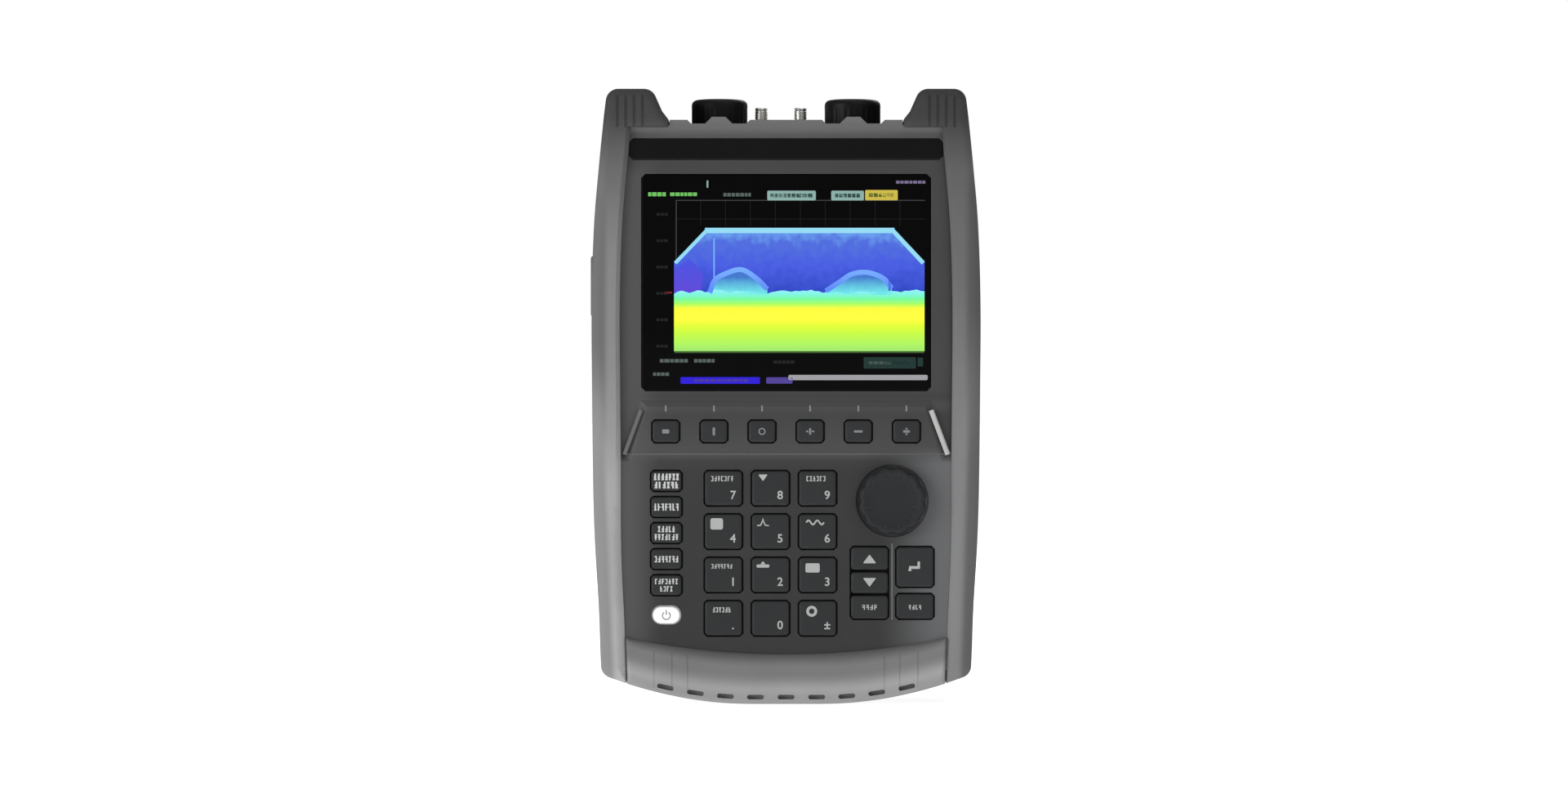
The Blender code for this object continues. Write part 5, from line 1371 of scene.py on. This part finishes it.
# The black sheet behind the louvres is painted shade for the dark openings between them
pad("ventRecess", 0, back["ventZ"] + pitch * (count - 1) / 2, wide + back["ventBorder"], pitch * count + 3.0,
    rearY, 0.15, 2.0, blackPlastic, 0.1)
for index in range(count):
    pad(f"ventRib{index + 1}", 0, back["ventZ"] + index * pitch, wide, 1.9, rearY, 1.1, 0.9, backCase, 0.4)
lidLow, lidHigh = boxOf("battery_door")
lidMiddle, lidSize = (lidLow + lidHigh) / 2, lidHigh - lidLow
pad("lidPanel", 0, lidMiddle.z, lidSize.x - back["lidMargin"], lidSize.z - back["lidMargin"], lidHigh.y,
    0.35, 4.0, backCase, 0.3, "battery_lid")
for index in range(back["lidBars"]):
    z = lidHigh.z - back["lidBarTop"] - index * back["lidBarPitch"]
    pad(f"lidBar{index + 1}", 0, z, back["lidBarWide"], 1.5, lidHigh.y + 0.3, 0.8, 0.7, backCase, 0.3,
        "battery_lid")
pad("lidFoam", 0, lidMiddle.z, 66.0, 48.0, lidLow.y, -0.28, 3.0, sealRubber, 0.1, "battery_lid")


# Battery pack's face: blank foil, pull ribbon, contacts and a charge gauge of five lamps

battery = {"foilZ": 80.0, "foilWide": 56.0, "foilTall": 24.0, "ribbonWide": 14.0, "ribbonTall": 16.0,
           "ribbonTop": 4.0, "contacts": 6, "contactPitch": 5.0, "contactLift": 7.0, "lamps": 5,
           "lampX": 24.0, "lampPitch": 4.0, "lampTop": 12.0}
packLow, packHigh = boxOf("battery_pack")


def packPad(name, x, z, width, height, rise, corner, finish, edge=0.05):
    pad(name, x, z, width, height, packHigh.y, rise, corner, finish, edge, "casing", "battery")


packPad("batteryFoil", 0, battery["foilZ"], battery["foilWide"], battery["foilTall"], 0.16, 1.2, labelFoil)
ribbonZ = packHigh.z - battery["ribbonTop"] - battery["ribbonTall"] / 2
packPad("batteryRibbon", 0, ribbonZ, battery["ribbonWide"], battery["ribbonTall"], 0.24, 1.0, ribbonCloth,
        0.1)
for index in range(battery["contacts"]):
    x = (index - (battery["contacts"] - 1) / 2) * battery["contactPitch"]
    packPad(f"batteryContact{index + 1}", x, packLow.z + battery["contactLift"], 2.6, 6.0, 0.12, 0.4, gold)
for index in range(battery["lamps"]):
    x = battery["lampX"] + (index - (battery["lamps"] - 1) / 2) * battery["lampPitch"]
    packPad(f"batteryLamp{index + 1}", x, packHigh.z - battery["lampTop"], 2.0, 2.0, 0.14, 0.99, lampGreen)


# Bail stand: a bent bar with rounded edges, steel pins and a ribbed rubber sleeve

bail = {"outerX": 66.0, "legWide": 6.0, "barTall": 8.0, "round": 1.3, "bend": 10.0, "bendSteps": 10,
        "pinRadius": 1.55, "pinStart": 2.5, "endSteps": (1.94, 1.7, 1.2, 0.6, 0.0), "sleeveHalf": 24.0,
        "sleevePitch": 2.4, "sleeveLift": 0.25, "ribLift": 0.32, "sleeveSwell": 0.64}


def bailSection(x, z, along, wide, thick, centreY):
    across = Vector((-along[1], along[0])).normalized()
    outline = roundedLoop(0, 0, wide, thick, min(bail["round"], thick * 0.48), 4)
    return [(x + across.x * a, centreY + b, z + across.y * a) for a, b in outline]


def makeBail():
    low, high = boxOf("bail_stand")
    thick, bend, legWide, barTall = high.y - low.y, bail["bend"], bail["legWide"], bail["barTall"]
    centreY, pivotZ = (low.y + high.y) / 2, high.z - thick / 2
    legX, barZ = bail["outerX"] - legWide / 2, low.z + barTall / 2
    stations = []
    for beyond in bail["endSteps"]:
        deep = 2 * math.sqrt((thick / 2) ** 2 - beyond ** 2)
        stations.append((legX, pivotZ + beyond, (0, -1), legWide, deep))
    for share in evenly(0, 1, bail["bendSteps"]):
        angle = math.pi / 2 * share
        stations.append((legX - bend + bend * math.cos(angle), barZ + bend - bend * math.sin(angle),
                         (-math.sin(angle), -math.cos(angle)),
                         legWide + (barTall - legWide) * smoothStep(0, 1, share), thick))
    stations += [(-x, z, (alongX, -alongZ), wide, deep)
                 for x, z, (alongX, alongZ), wide, deep in reversed(stations)]
    bar = [bailSection(*station, centreY) for station in stations]
    smoothPiece("bailFrame", bailPlastic, 40, [bar], "bail", "bail", "bail_stand")
    reach, radius = high.x - legX, bail["pinRadius"]
    profile = [(bail["pinStart"], radius), (reach - 0.3, radius), (reach, radius - 0.3)]
    pins = [turned((side * legX, centreY, pivotZ), (side, 0, 0), profile, 24) for side in (-1, 1)]
    smoothPiece("bailPins", steel, 40, pins, "bail", "bail")
    rings = []
    count = int(2 * bail["sleeveHalf"] / bail["sleevePitch"])
    for index in range(count):
        start = -bail["sleeveHalf"] + index * bail["sleevePitch"]
        ribLift = 0.0 if index in (0, count - 1) else bail["ribLift"]
        for shift, lift in ((0.0, 0.0), (0.25, ribLift), (1.35, ribLift), (1.6, 0.0)):
            grow = 2 * (bail["sleeveLift"] + lift)
            rings.append(bailSection(start + shift, barZ, (1, 0), barTall + grow,
                                     thick + min(grow, bail["sleeveSwell"]), centreY))
    smoothPiece("bailSleeve", sealRubber, 30, [rings], "bail", "bail")


makeBail()
print("back details and bail made")


# Studio: seamless pale floor, soft light, camera at the photograph's angle

studio = {"viewWidth": 0.7488, "distance": 2.4, "planeY": -0.03, "centreX": -0.001, "centreZ": 0.1443,
          "floorRadius": 30.0, "nearGlow": 0.74, "farGlow": 1.0, "floorBounce": 0.6, "roomBounce": 0.2,
          "sensor": 36.0}
white = (1.0, 1.0, 1.0, 1.0)


# One value for what the camera sees and another for the light that comes off it
def cameraChoice(tree, bounce, seen):
    rays = put(tree, "ShaderNodeLightPath").outputs["Is Camera Ray"]
    sockets = {"Factor": rays, "A": bounce, "B": seen}
    return put(tree, "ShaderNodeMix", sockets, data_type="FLOAT").outputs["Result"]


paper, tree, paperShader = newMaterial("studioPaper", {
    "Base Color": (0.86, 0.86, 0.86, 1.0), "Roughness": 0.9, "Specular IOR Level": 0.1,
    "Emission Color": white})
reach = put(tree, "ShaderNodeVectorMath", {0: placeIn(tree)}, operation="LENGTH").outputs["Value"]
fade = remap(tree, reach, 0.25, 1.6, studio["nearGlow"], studio["farGlow"], interpolation_type="SMOOTHSTEP")
feed(tree, paperShader, {"Emission Strength": cameraChoice(tree, studio["floorBounce"], fade)})
bm = bmesh.new()
bmesh.ops.create_circle(bm, cap_ends=True, radius=studio["floorRadius"], segments=64)
studioFloor = meshObject("studioFloor", bm, [paper], 1.0, outward=False)


def softLight(name, place, target, size, power):
    light = bpy.data.lights.new(name, "AREA")
    light.shape = "RECTANGLE"
    light.size, light.size_y = size
    light.energy = power
    lamp = placed(name, light)
    lamp.location = place
    lamp.rotation_euler = (Vector(target) - Vector(place)).to_track_quat("-Z", "Y").to_euler()


softLight("keyLight", (-2.0, -1.4, 0.35), (0, 0, 0.12), (1.3, 1.3), 31.0)
softLight("fillLight", (1.1, -1.7, 1.9), (0, 0, 0.15), (1.8, 1.4), 16.0)
softLight("topLight", (-0.2, 0.1, 2.3), (0, 0, 0.1), (1.8, 1.4), 10.0)
softLight("backLight", (0.6, 2.0, 1.6), (0, 0, 0.15), (1.6, 1.2), 17.0)
world = bpy.data.worlds.new("softRoom")
world.use_nodes = True
tree = world.node_tree
strength = cameraChoice(tree, studio["roomBounce"], 1.0)
feed(tree, tree.nodes["Background"], {"Strength": strength, "Color": white})
bpy.context.scene.world = world
bpy.context.scene.view_settings.view_transform = "Standard"

camera = bpy.data.cameras.new("photoCamera")
camera.sensor_width = studio["sensor"]
camera.lens = camera.sensor_width * studio["distance"] / studio["viewWidth"]
cameraObject = placed("photoCamera", camera)
cameraObject.location = (studio["centreX"], studio["planeY"] - studio["distance"], studio["centreZ"])
cameraObject.rotation_euler = (math.pi / 2, 0, 0)
bpy.context.scene.camera = cameraObject
print("studio ready")
